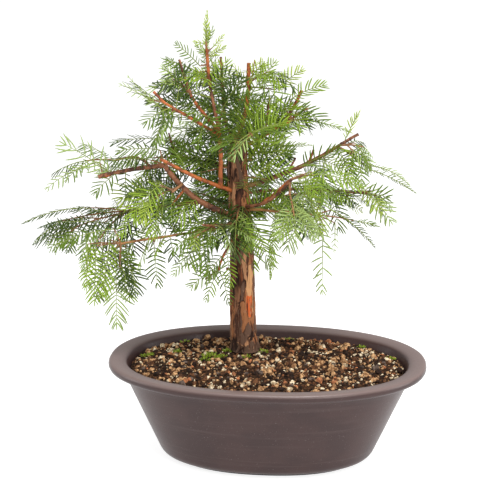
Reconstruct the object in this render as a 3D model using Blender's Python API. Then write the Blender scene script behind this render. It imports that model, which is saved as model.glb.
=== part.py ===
"""A dawn redwood bonsai in its oval pot, as separate solids.

The tree stands in a filled stoneware pot. Every limb is one tapering tube, and every mass
of foliage is one solid: a stem, the twigs that leave it, and flat sprays whose toothed
edges stand for the needles. Sizes are in millimetres and turn into metres where a mesh
is made. The origin is under the middle of the pot, +X runs along the pot's long axis,
+Y goes to the back and +Z is up.
"""
import math
import random

import bmesh
import bpy
from mathutils import Matrix, Vector
from mathutils.bvhtree import BVHTree
from mathutils.geometry import delaunay_2d_cdt

MM = 0.001
GAP = 0.3                      # between pieces that touch
WALL_GAP = 0.4                 # the soil's gap to the sloping wall, measured level

# Pot: half lengths and half widths of its ovals, and its heights
RIM_HALF = (142.5, 101.5)
RIM_TOP = 90.0
FLANGE_WIDTH = 15.0
LIP_HEIGHT = 8.0
WALL_TOP_HALF = (130.5, 87.5)
WALL_BASE_HALF = (95.0, 67.0)
BASE_ROUNDING = 6.0
PLINTH_HALF = (85.0, 57.5)
PLINTH_HEIGHT = 4.0
WALL_THICKNESS = 6.0
FLOOR_THICKNESS = 8.0
POT_SIDES = 36
OVAL_POWER = 2.2               # above 2 the oval has fuller shoulders than an ellipse
LIP_PROFILE = [                # drawn in from the rim's edge, height above the lip's foot
    (5.0, 0.0), (0.0, 3.5), (0.8, 6.8), (3.0, 8.0),
]
FLANGE_DIP = 1.5               # how much lower the flange is at its inner edge
LIP_ROOT = 3.0                 # how far below the lip the wall's straight taper ends
COVE = (2.0, 3.5)              # the rounding from flange to inner wall: width and depth
FLOOR_COVE = (8.0, 7.0)        # the rounding from inner wall to floor: width and height

# Soil: a level middle that the trunk stands on, and a slope down to the pot's wall
SOIL_TOP = 85.0
SOIL_EDGE = 82.0
SOIL_BEVEL = 2.0               # height of the soil's near-upright edge
SOIL_LEVEL_SHARE = 0.8
STONE_PITCH = 7.0              # from one stone of the soil's surface to the next
STONE_RISE = (-0.4, 2.4)       # how far stones stand out, least and most
STONE_SEED = 7
TRUNK_PAD = 25.0               # half size of the even place that the trunk stands on

# Trunk: the foot's place, then how far its centre line has moved and how thick it is
TRUNK_FOOT = (-23.7, 33.9)
TRUNK_SIDES = 12
TRUNK_LINE = [                 # height above the soil, shift in X, radius
    (0, 0.0, 15.5), (3, 0.0, 14.0), (10, -0.5, 12.8), (24, -1.4, 11.9), (53, -2.3, 11.6),
    (84, -2.7, 11.2), (110, -2.7, 10.2), (128, -4.0, 9.8), (146, -5.4, 9.6),
    (169, -7.1, 9.2), (187, -6.6, 8.6), (199, -5.7, 7.2),
]

# Limbs: what each grows from and how far along it, its heading in plan (0 is the pot's
# right end, 90 the back), its climb above level, its length, how far heading and climb
# change on the way, and its radius at both ends
LIMBS = [
    ("left_main", "trunk", 125, 215, 15, 88, -40, 42, 3.0, 2.2),
    ("left_outer", "left_main", 88, 185, -5, 60, 5, -10, 2.1, 1.7),
    ("left_fern", "left_outer", 14, 115, 25, 44, 65, -48, 1.3, 1.0),
    ("left_high", "trunk", 148, 225, 20, 82, -30, 12, 2.0, 1.4),
    ("left_back", "trunk", 171, 150, 0, 38, 20, 10, 1.6, 1.2),
    ("left_bright", "left_main", 65, 295, 25, 18, -50, -45, 1.3, 1.0),
    ("left_low", "left_main", 41, 160, -10, 42, 15, 0, 1.7, 1.3),
    ("left_long", "trunk", 117, 230, 5, 116, -54, -18, 1.3, 1.0),
    ("front_left", "trunk", 123, 255, 0, 44, -15, 12, 1.7, 1.2),
    ("front_low", "trunk", 119, 280, -12, 54, -120, -70, 1.3, 1.0),
    ("right_main", "trunk", 152, 25, 10, 100, -30, 25, 2.7, 1.5),
    ("front_right", "trunk", 137, 316, 0, 70, 26, 56, 1.8, 1.2),
    ("front_hanging", "front_right", 66, 280, -35, 12, -15, -30, 1.1, 1.0),
    ("right_low", "trunk", 147, 40, 0, 125, -40, -6, 1.5, 1.1),
    ("right_back", "trunk", 139, 60, -4, 95, -24, 2, 1.6, 1.1),
    ("right_thin", "trunk", 132, 325, 10, 76, 40, -18, 1.3, 1.0),
    ("right_upper", "trunk", 186, 20, 30, 56, -32, 0, 1.9, 1.3),
    ("right_leader", "trunk", 198, 50, 65, 50, -5, 20, 2.2, 1.5),
    ("middle_leader", "trunk", 197, 155, 16, 67, -108, 115, 1.6, 1.2),
    ("left_leader", "left_high", 21, 100, 104, 52, 20, -32, 2.0, 1.7),
    ("top_leader", "left_leader", 52, 165, 75, 70, -28, 8, 1.6, 1.2),
    ("upper_left", "left_leader", 51, 205, 45, 43, -8, 15, 1.7, 1.3),
    ("upper_side", "left_leader", 47, 220, 32, 42, -20, 0, 1.4, 1.1),
    ("front_high", "trunk", 187, 285, 14, 46, 15, 30, 1.6, 1.1),
    ("back_low", "trunk", 133, 95, 4, 58, 8, 4, 2.0, 1.3),
    ("back_left", "trunk", 132, 142, 4, 50, -12, 4, 2.0, 1.3),
    ("back_upper_left", "trunk", 179, 126, 15, 44, 4, 2, 1.6, 1.2),
    ("back_upper_right", "trunk", 186, 70, 14, 44, -2, 14, 1.6, 1.2),
]
LIMB_STEPS = 6
THICK_LIMB = 1.9               # limbs from this radius up get eight sides, others six

# Foliage masses: the limb each grows from and how far along it (None is its tip), the
# heading and climb of its stem, its roll about that, the angle of its side shoots, its
# reach, how far it bows down, the number of side shoots, and the length, width and
# colour of a spray
MASSES = [
    ("top", "top_leader", None, 270, 86, 0, 32, 30, 0, 2, 24, 13, "new"),
    ("upper_left", "upper_left", None, 165, 46, -25, 60, 54, 35, 5, 38, 30, "dark"),
    ("upper_side", "upper_side", None, 184, 22, -35, 60, 64, 30, 4, 38, 28, "mid"),
    ("middle", "middle_leader", None, 160, 10, -30, 70, 48, 20, 4, 36, 28, "dark"),
    ("right_leader", "right_leader", None, 10, 42, 25, 70, 52, 50, 5, 36, 28, "new"),
    ("right_upper", "right_upper", None, 350, 58, 25, 65, 50, 80, 5, 36, 28, "mid"),
    ("left_fern", "left_fern", None, 182, 10, -42, 48, 66, 42, 3, 46, 32, "mid"),
    ("left_back", "left_back", None, 172, 12, -40, 60, 78, 30, 4, 40, 30, "dark"),
    ("left_bright", "left_bright", None, 212, -5, -20, 65, 62, 50, 4, 38, 30, "new"),
    ("left_low", "left_low", None, 183, -5, -30, 50, 126, 22, 4, 46, 34, "dark"),
    ("left_inner", "trunk", 172, 205, 2, -30, 65, 52, 30, 3, 38, 28, "mid"),
    ("left_hanging", "left_long", None, 262, -62, 0, 70, 70, 95, 3, 56, 35, "mid"),
    ("front_left", "front_left", None, 222, 0, 0, 65, 58, 60, 4, 38, 30, "new"),
    ("front_low", "front_low", None, 215, -15, 0, 65, 44, 50, 3, 34, 26, "pale"),
    ("front", "trunk", 134, 272, 25, 0, 65, 58, 110, 4, 40, 32, "mid"),
    ("right_inner", "trunk", 163, 328, 8, 40, 60, 56, 25, 3, 42, 30, "new"),
    ("right_crest", "front_right", None, 350, 26, 30, 60, 54, 50, 4, 38, 30, "mid"),
    ("front_hanging", "front_hanging", None, 290, -30, 0, 60, 58, 60, 4, 42, 30, "pale"),
    ("right_main", "right_main", None, 5, 14, 35, 55, 70, 75, 4, 44, 30, "mid"),
    ("right_low", "right_low", None, 350, -2, 30, 55, 38, 55, 3, 32, 26, "pale"),
    ("right_thin", "right_thin", None, 318, -35, 0, 55, 68, 80, 4, 50, 27, "pale"),
    ("right_back", "right_back", None, 35, 10, 0, 60, 60, 45, 3, 40, 30, "dark"),
    ("back_low", "back_low", None, 95, 8, 0, 65, 60, 45, 4, 40, 30, "dark"),
    ("back_left", "back_left", None, 140, 8, 0, 65, 60, 45, 4, 40, 30, "dark"),
    ("back_upper_left", "back_upper_left", None, 125, 28, 0, 65, 56, 40, 4, 40, 30, "mid"),
    ("back_upper_right", "back_upper_right", None, 60, 36, 0, 65, 56, 40, 4, 40, 30, "mid"),
    ("front_high", "front_high", None, 285, 15, 0, 65, 46, 60, 3, 36, 30, "new"),
]
TRUNK_REACH = 14.0             # from the trunk's middle to clear of its bark
STEM_RADIUS = 1.0
TWIG_RADIUS = 0.8
TWIG_STEPS = 3
TWIG_TAPER = 0.45
FORK_TAPER = 0.74              # reach of a side shoot at a twig's root, as a share of the twig's
FORK_TWIST = 35.0              # widest chance roll of a side shoot, in degrees
FORK_SWING = 6.0               # widest chance turn of a side shoot, in degrees
SPRAY_THICKNESS = 1.0
SPRAY_OVERLAP = 2.0            # how far a spray's rib reaches back into its twig
SPRAY_SHARE = 0.85             # how much of an end spray's length counts towards the reach
WIDEST_SHARE = 0.8             # widest spray, as a share of its length
RIB_SHARE = 0.06               # half the rib's width, as a share of the spray's
TOOTH_PITCH = 9.5
TOOTH_RAKE = 0.35              # how far a tooth leans forward, as a share of its width
LIMB_CLEARANCE = 0.5
SPRAY_CLEARANCE = 0.4
SPILL = 8.0                    # how far a mass may reach past the middle plane to its neighbour
LEAST_TWIG = 9.0
LOWEST_SPRAY = 100.0

COLOURS = {                    # base colour and roughness
    "pot": ((0.105, 0.082, 0.078), 0.55),
    "soil": ((0.10, 0.062, 0.038), 0.95),
    "trunk": ((0.20, 0.105, 0.065), 0.85),
    "limb": ((0.27, 0.10, 0.05), 0.75),
    "dark": ((0.05, 0.13, 0.03), 0.6),
    "mid": ((0.09, 0.22, 0.04), 0.6),
    "new": ((0.22, 0.40, 0.05), 0.6),
    "pale": ((0.19, 0.32, 0.11), 0.6),
}


def clear_scene():
    for old in list(bpy.data.objects):
        bpy.data.objects.remove(old, do_unlink=True)


def new_collection(name):
    collection = bpy.data.collections.new(name)
    bpy.context.scene.collection.children.link(collection)
    return collection


def paint(obj, key):
    """Give an object a Principled material of its own."""
    colour, roughness = COLOURS[key]
    material = bpy.data.materials.new(obj.name)
    material.use_nodes = True
    shader = material.node_tree.nodes["Principled BSDF"]
    shader.inputs["Base Color"].default_value = (*colour, 1.0)
    shader.inputs["Roughness"].default_value = roughness
    shader.inputs["Metallic"].default_value = 0.0
    obj.data.materials.clear()
    obj.data.materials.append(material)


def mesh_object(name, bm, collection):
    mesh = bpy.data.meshes.new(name)
    bm.to_mesh(mesh)
    bm.free()
    obj = bpy.data.objects.new(name, mesh)
    collection.objects.link(obj)
    return obj


def oval_ring(bm, half_length, half_width, height):
    """A ring of points on a full-shouldered oval."""
    ring = []
    for side in range(POT_SIDES):
        turn = math.tau * side / POT_SIDES
        across, back = (math.copysign(abs(value) ** (2 / OVAL_POWER), value)
                        for value in (math.cos(turn), math.sin(turn)))
        ring.append(bm.verts.new(Vector((half_length * across, half_width * back, height)) * MM))
    return ring


def oval_bands(bm, levels):
    """A floor and a wall through a stack of ovals, each given as half length, half width and
    height, with a band of faces from one to the next. Returns the open top ring."""
    rings = [oval_ring(bm, *level) for level in levels]
    for lower, upper in zip(rings, rings[1:]):
        for side in range(POT_SIDES):
            bm.faces.new((lower[side - 1], lower[side], upper[side], upper[side - 1]))
    bm.faces.new(rings[0])
    return rings[-1]


def oval_stack(name, levels, collection):
    """A closed solid through a stack of ovals."""
    bm = bmesh.new()
    bm.faces.new(oval_bands(bm, levels))
    bmesh.ops.recalc_face_normals(bm, faces=bm.faces)
    return mesh_object(name, bm, collection)


def grown(half, extra):
    return (half[0] + extra, half[1] + extra)


def wall_half(height):
    """The outer wall's oval at a height: it tapers straight from base to top."""
    share = (height - PLINTH_HEIGHT) / (RIM_TOP - LIP_HEIGHT - PLINTH_HEIGHT)
    return tuple(low + (high - low) * share
                 for low, high in zip(WALL_BASE_HALF, WALL_TOP_HALF))


def inner_levels(shrink, top):
    """The pot's inside from its floor up to a height, each oval drawn in by shrink."""
    floor = PLINTH_HEIGHT + FLOOR_THICKNESS
    levels = []
    for height, tuck in ((floor, FLOOR_COVE[0]), (floor + FLOOR_COVE[1], 0.0), (top, 0.0)):
        half = grown(wall_half(height), -WALL_THICKNESS - tuck - shrink)
        levels.append((*half, height))
    return levels


def make_pot(collection):
    """An oval bowl on a low plinth, with a broad flat flange and a rounded lip."""
    levels = [(*PLINTH_HALF, 0.0), (*PLINTH_HALF, PLINTH_HEIGHT)]
    for step in range(4):
        angle = math.radians(30 * step)
        height = PLINTH_HEIGHT + BASE_ROUNDING * (1 - math.cos(angle))
        tuck = BASE_ROUNDING * 0.6 * (1 - math.sin(angle))
        levels.append((*grown(wall_half(height), -tuck), height))
    lip_foot = RIM_TOP - LIP_HEIGHT
    levels.append((*WALL_TOP_HALF, lip_foot - LIP_ROOT))
    levels.extend((*grown(RIM_HALF, -inward), lip_foot + up) for inward, up in LIP_PROFILE)
    flange_edge = RIM_TOP - FLANGE_DIP
    levels.append((*grown(RIM_HALF, -FLANGE_WIDTH), flange_edge))
    levels.append((*grown(RIM_HALF, -FLANGE_WIDTH - COVE[0]), flange_edge - COVE[1]))
    levels.extend(reversed(inner_levels(0.0, SOIL_EDGE - SOIL_BEVEL)))
    pot = oval_stack("pot", levels, collection)
    pot.data.shade_smooth()
    pot.data.set_sharp_from_angle(angle=math.radians(40))
    paint(pot, "pot")
    return pot


def soil_height(x, y, half):
    """The soil lies level round the trunk and slopes down to the wall."""
    share = math.hypot(x / half[0], y / half[1])
    slope = max(0.0, share - SOIL_LEVEL_SHARE) / (1 - SOIL_LEVEL_SHARE)
    return SOIL_TOP - (SOIL_TOP - SOIL_EDGE) * min(slope, 1.0)


def stone_spots(half):
    """Staggered rows of stone tops and hollows, each a little off its place."""
    draw = random.Random(STONE_SEED)
    spots = []
    rows = int(half[1] // (STONE_PITCH * 0.87))
    for row in range(-rows, rows + 1):
        for column in range(-int(half[0] // STONE_PITCH) - 1, int(half[0] // STONE_PITCH) + 2):
            x = (column + 0.5 * (row % 2) + draw.uniform(-0.3, 0.3)) * STONE_PITCH
            y = (row * 0.87 + draw.uniform(-0.25, 0.25)) * STONE_PITCH
            rise = draw.uniform(*STONE_RISE)
            inside = (abs(x) / (half[0] - 4)) ** OVAL_POWER + (abs(y) / (half[1] - 4)) ** OVAL_POWER
            if inside > 1.0:
                continue
            if math.hypot(x - TRUNK_FOOT[0], y - TRUNK_FOOT[1]) < TRUNK_PAD:
                rise = 0.0
            spots.append((x, y, soil_height(x, y, half) + rise))
    return spots


def make_soil(collection):
    """The soil fills the pot, and its top is a lumpy skin over the coarse stones."""
    levels = [(half_length, half_width, height + GAP)
              for half_length, half_width, height in inner_levels(
                  WALL_GAP, SOIL_EDGE - SOIL_BEVEL - GAP)]
    top_half = grown(levels[-1][:2], -0.5)
    levels.append((*top_half, SOIL_EDGE))
    bm = bmesh.new()
    edge = oval_bands(bm, levels)
    verts = edge + [bm.verts.new(Vector(spot) * MM) for spot in stone_spots(top_half)]
    flat = [Vector(vert.co.xy) / MM for vert in verts]
    rim = [(side, (side + 1) % POT_SIDES) for side in range(POT_SIDES)]
    _, _, faces, origins, _, _ = delaunay_2d_cdt(flat, rim, [], 1, 1e-6)
    for face in faces:
        bm.faces.new([verts[origins[corner][0]] for corner in face])
    bmesh.ops.recalc_face_normals(bm, faces=bm.faces)
    soil = mesh_object("soil", bm, collection)
    paint(soil, "soil")
    return soil


def arc_path(start, heading, climb, length, turn, lift, steps):
    """Points along a limb whose heading and climb change evenly on the way."""
    points = [Vector(start)]
    for step in range(steps):
        share = (step + 0.5) / steps
        across = math.radians(heading + turn * share)
        upward = math.radians(climb + lift * share)
        points.append(points[-1] + length / steps * Vector((
            math.cos(across) * math.cos(upward),
            math.sin(across) * math.cos(upward),
            math.sin(upward))))
    return points


def along_path(points, distance):
    """The point that lies a distance along a path, and the direction there."""
    for first, second in zip(points, points[1:]):
        span = (second - first).length
        if distance <= span or second is points[-1]:
            heading = (second - first).normalized()
            return first + heading * min(distance, span), heading
        distance -= span


def tube(name, points, radii, sides, collection):
    """A tapering tube: a bevelled curve with filled caps, turned into a mesh."""
    curve = bpy.data.curves.new(name, "CURVE")
    curve.dimensions = "3D"
    curve.bevel_depth = MM
    curve.bevel_resolution = (sides - 4) // 2
    curve.use_fill_caps = True
    line = curve.splines.new("POLY")
    line.points.add(len(points) - 1)
    for spot, point, radius in zip(line.points, points, radii):
        spot.co = (*(point * MM), 1.0)
        spot.radius = radius
    drawn = bpy.data.objects.new("centre_line", curve)
    collection.objects.link(drawn)
    evaluated = drawn.evaluated_get(bpy.context.evaluated_depsgraph_get())
    mesh = bpy.data.meshes.new_from_object(evaluated)
    bm = bmesh.new()
    bm.from_mesh(mesh)
    bmesh.ops.remove_doubles(bm, verts=bm.verts, dist=1e-6)
    bmesh.ops.recalc_face_normals(bm, faces=bm.faces)
    bm.to_mesh(mesh)
    bm.free()
    mesh.name = name
    made = bpy.data.objects.new(name, mesh)
    made.matrix_world = drawn.matrix_world
    collection.objects.link(made)
    bpy.data.objects.remove(drawn, do_unlink=True)
    bpy.data.curves.remove(curve)
    return made


def surface_tree(obj, extra=0.0):
    """A search tree over an object's faces, moved out by extra."""
    bm = bmesh.new()
    bm.from_mesh(obj.data)
    bm.normal_update()
    for vert in bm.verts:
        vert.co += vert.normal * extra * MM
    tree = BVHTree.FromBMesh(bm)
    bm.free()
    return tree


def apply_boolean(obj, operation, solver, cutter=None, group=None):
    step = obj.modifiers.new("join", "BOOLEAN")
    step.operation = operation
    step.solver = solver
    if group is None:
        step.object = cutter
    else:
        step.operand_type = "COLLECTION"
        step.collection = group
    evaluated = obj.evaluated_get(bpy.context.evaluated_depsgraph_get())
    result = bpy.data.meshes.new_from_object(evaluated)
    obj.modifiers.clear()
    obj.data = result


def keep_largest(obj):
    """Keep only the largest closed piece of a mesh, and drop scraps and sealed hollows."""
    bm = bmesh.new()
    bm.from_mesh(obj.data)
    bmesh.ops.triangulate(bm, faces=bm.faces)
    bmesh.ops.remove_doubles(bm, verts=bm.verts, dist=2e-6)
    unseen = set(bm.faces)
    pieces = []
    while unseen:
        stack = [unseen.pop()]
        piece = []
        while stack:
            face = stack.pop()
            piece.append(face)
            for edge in face.edges:
                for near in edge.link_faces:
                    if near in unseen:
                        unseen.remove(near)
                        stack.append(near)
        pieces.append(piece)
    if len(pieces) > 1:
        pieces.sort(key=lambda faces: sum(face.calc_area() for face in faces))
        scraps = [face for piece in pieces[:-1] for face in piece]
        bmesh.ops.delete(bm, geom=scraps, context="FACES")
    bm.to_mesh(obj.data)
    bm.free()
    return len(pieces) - 1


def lengthened(points, extra):
    """The same path, a little longer at both ends."""
    first = points[0] + (points[0] - points[1]).normalized() * extra
    last = points[-1] + (points[-1] - points[-2]).normalized() * extra
    return [first, *points[1:-1], last]


class Wood:
    """The trunk or a limb, with its path and the slightly fatter copies that keep its
    neighbours clear: one to cut them with and one to test them against."""

    def __init__(self, name, points, radii, sides, collection, cutters):
        self.name = name
        self.points = points
        self.obj = tube(name, points, radii, sides, collection)
        self.cutter = self.fatter(GAP, radii, sides, cutters)
        guard = self.fatter(LIMB_CLEARANCE, radii, sides, cutters)
        self.guard = surface_tree(guard)
        bpy.data.objects.remove(guard, do_unlink=True)
        self.tip = points[-1]

    def fatter(self, extra, radii, sides, cutters):
        around = extra / math.cos(math.pi / sides)
        made = tube(self.name + "_cutter", lengthened(self.points, extra),
                    [radius + around for radius in radii], sides, cutters)
        made.hide_render = True
        made.display_type = "WIRE"
        return made


def cut_clear(obj, woods):
    """Cut an object back from all the wood that it runs into."""
    tree = surface_tree(obj)
    for wood in woods:
        if tree.overlap(surface_tree(wood.cutter)):
            apply_boolean(obj, "DIFFERENCE", "EXACT", cutter=wood.cutter)
    return keep_largest(obj)


def make_trunk(collection, cutters):
    x, y = TRUNK_FOOT
    foot = SOIL_TOP + GAP
    points = [Vector((x + shift, y, foot + height)) for height, shift, radius in TRUNK_LINE]
    radii = [radius for height, shift, radius in TRUNK_LINE]
    trunk = Wood("trunk", points, radii, TRUNK_SIDES, collection, cutters)
    paint(trunk.obj, "trunk")
    return trunk


def make_limbs(trunk, collection, cutters):
    woods = {"trunk": trunk}
    for name, parent, at, heading, climb, length, turn, lift, root, tip in LIMBS:
        start, _ = along_path(woods[parent].points, at)
        points = arc_path(start, heading, climb, length, turn, lift, LIMB_STEPS)
        radii = [root + (tip - root) * step / LIMB_STEPS for step in range(LIMB_STEPS + 1)]
        sides = 8 if root >= THICK_LIMB else 6
        limb = Wood("bough_" + name, points, radii, sides, collection, cutters)
        cut_clear(limb.obj, woods.values())
        paint(limb.obj, "limb")
        woods[name] = limb
    return woods


def aimed(heading, climb):
    """A frame whose columns point along a twig, across it and out of its upper side."""
    across, upward = math.radians(heading), math.radians(climb)
    along = Vector((math.cos(across) * math.cos(upward),
                    math.sin(across) * math.cos(upward), math.sin(upward)))
    side = Vector((-math.sin(across), math.cos(across), 0))
    return Matrix((along, side, along.cross(side))).transposed()


def turned(frame, degrees):
    """The frame turned in its own flat plane."""
    return Matrix.Rotation(math.radians(degrees), 3, frame.col[2]) @ frame


def rolled(frame, degrees):
    return Matrix.Rotation(math.radians(degrees), 3, frame.col[0]) @ frame


def bowed(frame, degrees):
    """The frame bent towards straight down, and never past it."""
    along = frame.col[0]
    left_over = along.angle(Vector((0, 0, -1)))
    if left_over < 1e-3:
        return frame
    axis = along.cross(Vector((0, 0, -1))).normalized()
    return Matrix.Rotation(min(math.radians(degrees), left_over), 3, axis) @ frame


def grow(start, frame, length, droop, steps):
    """The points and frames along a twig that bows down on its way."""
    points, frames = [start], [frame]
    for _ in range(steps):
        frame = bowed(frame, droop / steps)
        points.append(points[-1] + frame.col[0] * (length / steps))
        frames.append(frame)
    return points, frames


def spray_mesh(points, frames, width):
    """A flat spray: a low ridged rib with a row of forward-raked teeth on both sides."""
    bm = bmesh.new()
    last = len(points) - 1
    ribs, teeth = [], []
    for step in range(last):
        share = (step + 0.5) / last
        along, side, up = frames[step].col
        half = width / 2 * math.sin(math.pi * (0.14 + 0.74 * share))
        rib = RIB_SHARE * width * (1 - 0.6 * share)
        thick = SPRAY_THICKNESS * (1 - 0.4 * share)
        spot = points[step]
        ribs.append([bm.verts.new(place * MM)
                     for place in (spot + up * thick, spot + side * rib, spot - side * rib)])
        middle = (points[step] + points[step + 1]) / 2 + along * (TOOTH_RAKE * half)
        teeth.append([bm.verts.new((middle + side * (half * sign)) * MM) for sign in (1, -1)])
    point = bm.verts.new(points[last] * MM)
    for step in range(last):
        ridge, left, right = ribs[step]
        ridge_on, left_on, right_on = ribs[step + 1] if step + 1 < last else [point] * 3
        for tooth, near, far in ((teeth[step][0], left, left_on), (teeth[step][1], right, right_on)):
            bm.faces.new((ridge, tooth, near))
            bm.faces.new((ridge, ridge_on, tooth))
            if far is not point:
                bm.faces.new((ridge_on, far, tooth))
            bm.faces.new((near, tooth, far))
        bm.faces.new((left, left_on, right))
        if left_on is not point:
            bm.faces.new((left_on, right_on, right))
    bm.faces.new(ribs[0])
    bmesh.ops.recalc_face_normals(bm, faces=bm.faces)
    return bm


class Mass:
    """One mass of foliage and the space that it keeps to."""

    def __init__(self, row, woods, seed):
        (self.name, limb, at, heading, climb, roll, self.angle, self.reach, self.droop,
         self.shoots, self.spray, self.width, self.colour) = row
        self.draw = random.Random(seed)
        self.wood = woods[limb]
        self.frame = rolled(aimed(heading, climb), roll)
        if at is None:
            self.start, self.root = self.wood.tip, 0.0
        else:
            self.start, _ = along_path(self.wood.points, at)
            self.root = TRUNK_REACH
        points, _ = grow(self.start + self.frame.col[0] * self.root, self.frame,
                         self.reach, self.droop, 8)
        self.centre = sum(points[2:], Vector()) / len(points[2:])
        self.made, self.guards, self.outside, self.touching = [], [], 0, 0

    def holds(self, place, masses):
        """Whether a place is nearer this mass's middle than another's, give or take."""
        own = (place - self.centre).length_squared
        for other in masses:
            apart = (other.centre - self.centre).length
            if other is not self and (place - other.centre).length_squared - own < -2 * SPILL * apart:
                return False
        return place.z > LOWEST_SPRAY

    def offer(self, obj):
        """Keep a twig or spray if it stays in the space and clear of all the rest."""
        tree = surface_tree(obj)
        if not all(self.holds(vert.co / MM, self.masses) for vert in obj.data.vertices):
            self.outside += 1
        elif (any(tree.overlap(wood.guard) for wood in self.woods)
                or any(tree.overlap(guard) for mass in self.masses if mass is not self
                       for guard in mass.guards)):
            self.touching += 1
        else:
            self.made.append(obj)
            self.guards.append(surface_tree(obj, SPRAY_CLEARANCE))
            return True
        bpy.data.objects.remove(obj, do_unlink=True)
        return False

    def twig(self, name, start, frame, length, droop, radius, collection):
        points, frames = grow(start, frame, length, droop, TWIG_STEPS)
        radii = [radius * (1 - TWIG_TAPER * step / TWIG_STEPS) for step in range(TWIG_STEPS + 1)]
        return tube(name, points, radii, 4, collection), points, frames

    def blade(self, start, frame, length, droop):
        steps = max(3, round(length / TOOTH_PITCH))
        points, frames = grow(start, frame, length, droop, steps)
        width = min(self.width, length * WIDEST_SHARE)
        self.offer(mesh_object("spray", spray_mesh(points, frames, width), self.loose))

    def end_spray(self, points, frames, length, droop):
        """The spray at a twig's end, bowing down by what the twig has left over."""
        root = points[-1] - frames[-1].col[0] * SPRAY_OVERLAP
        self.blade(root, frames[-1], length, self.droop - droop)

    def shoots_along(self, points, frames, start, length, reach, shoots):
        """Side shoots in two ranks along a twig, each a smaller copy of the whole."""
        for number in range(shoots):
            share = (number + 0.5) / shoots
            spot, _ = along_path(points, start + length * share)
            side = self.angle * (1 - 0.3 * share) * (1 if number % 2 else -1)
            frame = rolled(frames[1 + int(share * TWIG_STEPS)], self.draw.uniform(-FORK_TWIST, FORK_TWIST))
            frame = turned(frame, side + self.draw.uniform(-FORK_SWING, FORK_SWING))
            fork = reach * FORK_TAPER - length * share * 0.6
            self.branch(spot, frame, max(fork, self.spray * 0.7))

    def branch(self, start, frame, reach):
        """A side shoot: a twig with two shoots of its own if it is long, or one spray."""
        spray = min(reach, self.spray)
        bare = reach - SPRAY_SHARE * spray
        if bare < LEAST_TWIG:
            self.blade(start, frame, min(reach, self.spray * 1.15), self.droop * 0.7)
            return
        droop = self.droop * bare / reach
        obj, points, frames = self.twig("twig", start, frame, bare, droop, TWIG_RADIUS, self.loose)
        if self.offer(obj):
            self.end_spray(points, frames, spray, droop)
            self.shoots_along(points, frames, 4.0, bare - 4.0, min(reach, self.spray), 2)

    def make_stem(self, masses, woods, collection, loose):
        self.masses, self.woods, self.loose = masses, list(woods.values()), loose
        self.bare = self.reach - SPRAY_SHARE * self.spray
        droop = self.droop * self.bare / self.reach
        self.stem, self.points, self.frames = self.twig(
            "foliage_" + self.name, self.start, self.frame, self.root + self.bare, droop,
            STEM_RADIUS, collection)
        cut_clear(self.stem, self.woods)
        self.guards.append(surface_tree(self.stem, SPRAY_CLEARANCE))
        self.end_spray(self.points, self.frames, self.spray, droop)

    def join(self):
        """Grow the side shoots, and join what fits into one solid."""
        self.shoots_along(self.points, self.frames, self.root + 3.0, self.bare - 3.0,
                          self.reach, self.shoots)
        for obj in self.made:
            self.group.objects.link(obj)
        apply_boolean(self.stem, "UNION", "EXACT", group=self.group)
        for obj in self.made:
            bpy.data.objects.remove(obj, do_unlink=True)
        scraps = keep_largest(self.stem)
        paint(self.stem, self.colour)
        print(f"{self.stem.name:26s} kept {len(self.made):3d}  outside {self.outside:3d}  touching "
              f"{self.touching:3d}  scraps {scraps}  triangles {len(self.stem.data.polygons)}")


def main():
    clear_scene()
    collection = new_collection("dawn_redwood_bonsai")
    cutters = new_collection("cutters")
    loose = new_collection("loose_sprays")
    make_pot(collection)
    make_soil(collection)
    trunk = make_trunk(collection, cutters)
    woods = make_limbs(trunk, collection, cutters)
    masses = [Mass(row, woods, seed) for seed, row in enumerate(MASSES, start=1)]
    for mass in masses:
        mass.make_stem(masses, woods, collection, loose)
    for mass in masses:
        mass.group = new_collection("joined_" + mass.name)
        mass.join()
    for cutter in list(cutters.objects):
        bpy.data.objects.remove(cutter, do_unlink=True)
    total = sum(sum(len(face.vertices) - 2 for face in obj.data.polygons)
                for obj in collection.objects)
    print("solids", len(collection.objects), "triangles", total)


main()
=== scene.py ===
# %% [markdown]
# # A dawn redwood bonsai in an oval pot
#
# This notebook dresses a finished solid model. The solids fix the size and place of the pot,
# the trunk, every bough and every mass of foliage. Each cell below models or paints one part
# of the real thing, in metres, in the same frame as the solids.

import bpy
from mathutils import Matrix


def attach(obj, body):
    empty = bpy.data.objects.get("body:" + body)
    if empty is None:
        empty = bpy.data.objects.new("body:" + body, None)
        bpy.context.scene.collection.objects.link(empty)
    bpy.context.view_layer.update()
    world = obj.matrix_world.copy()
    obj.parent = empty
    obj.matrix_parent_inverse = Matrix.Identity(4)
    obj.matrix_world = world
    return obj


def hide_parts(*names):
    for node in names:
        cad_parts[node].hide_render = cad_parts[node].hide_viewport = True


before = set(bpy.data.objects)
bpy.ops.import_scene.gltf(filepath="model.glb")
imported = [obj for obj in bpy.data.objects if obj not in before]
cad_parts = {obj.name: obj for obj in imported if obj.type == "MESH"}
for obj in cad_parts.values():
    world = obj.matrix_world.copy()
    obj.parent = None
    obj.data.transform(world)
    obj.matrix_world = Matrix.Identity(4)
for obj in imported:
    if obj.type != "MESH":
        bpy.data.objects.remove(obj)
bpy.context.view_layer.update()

# %% [markdown]
# ## Tools for the bench
#
# Most pieces are made the way a modeller makes them by hand: add a primitive, go into edit
# mode, extrude, resize and bevel, then apply the modifiers. An operator works on whatever is
# selected, so each helper starts by letting go of everything.

# %% Helpers for operators
import math
import random

import bpy
import numpy as np
from mathutils import Matrix, Vector, noise
from mathutils.bvhtree import BVHTree

MM = 0.001


def let_go():
    """Back to object mode with nothing selected."""
    if bpy.context.object and bpy.context.object.mode != "OBJECT":
        bpy.ops.object.mode_set(mode="OBJECT")
    bpy.ops.object.select_all(action="DESELECT")


def take(obj):
    let_go()
    obj.select_set(True)
    bpy.context.view_layer.objects.active = obj


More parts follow.
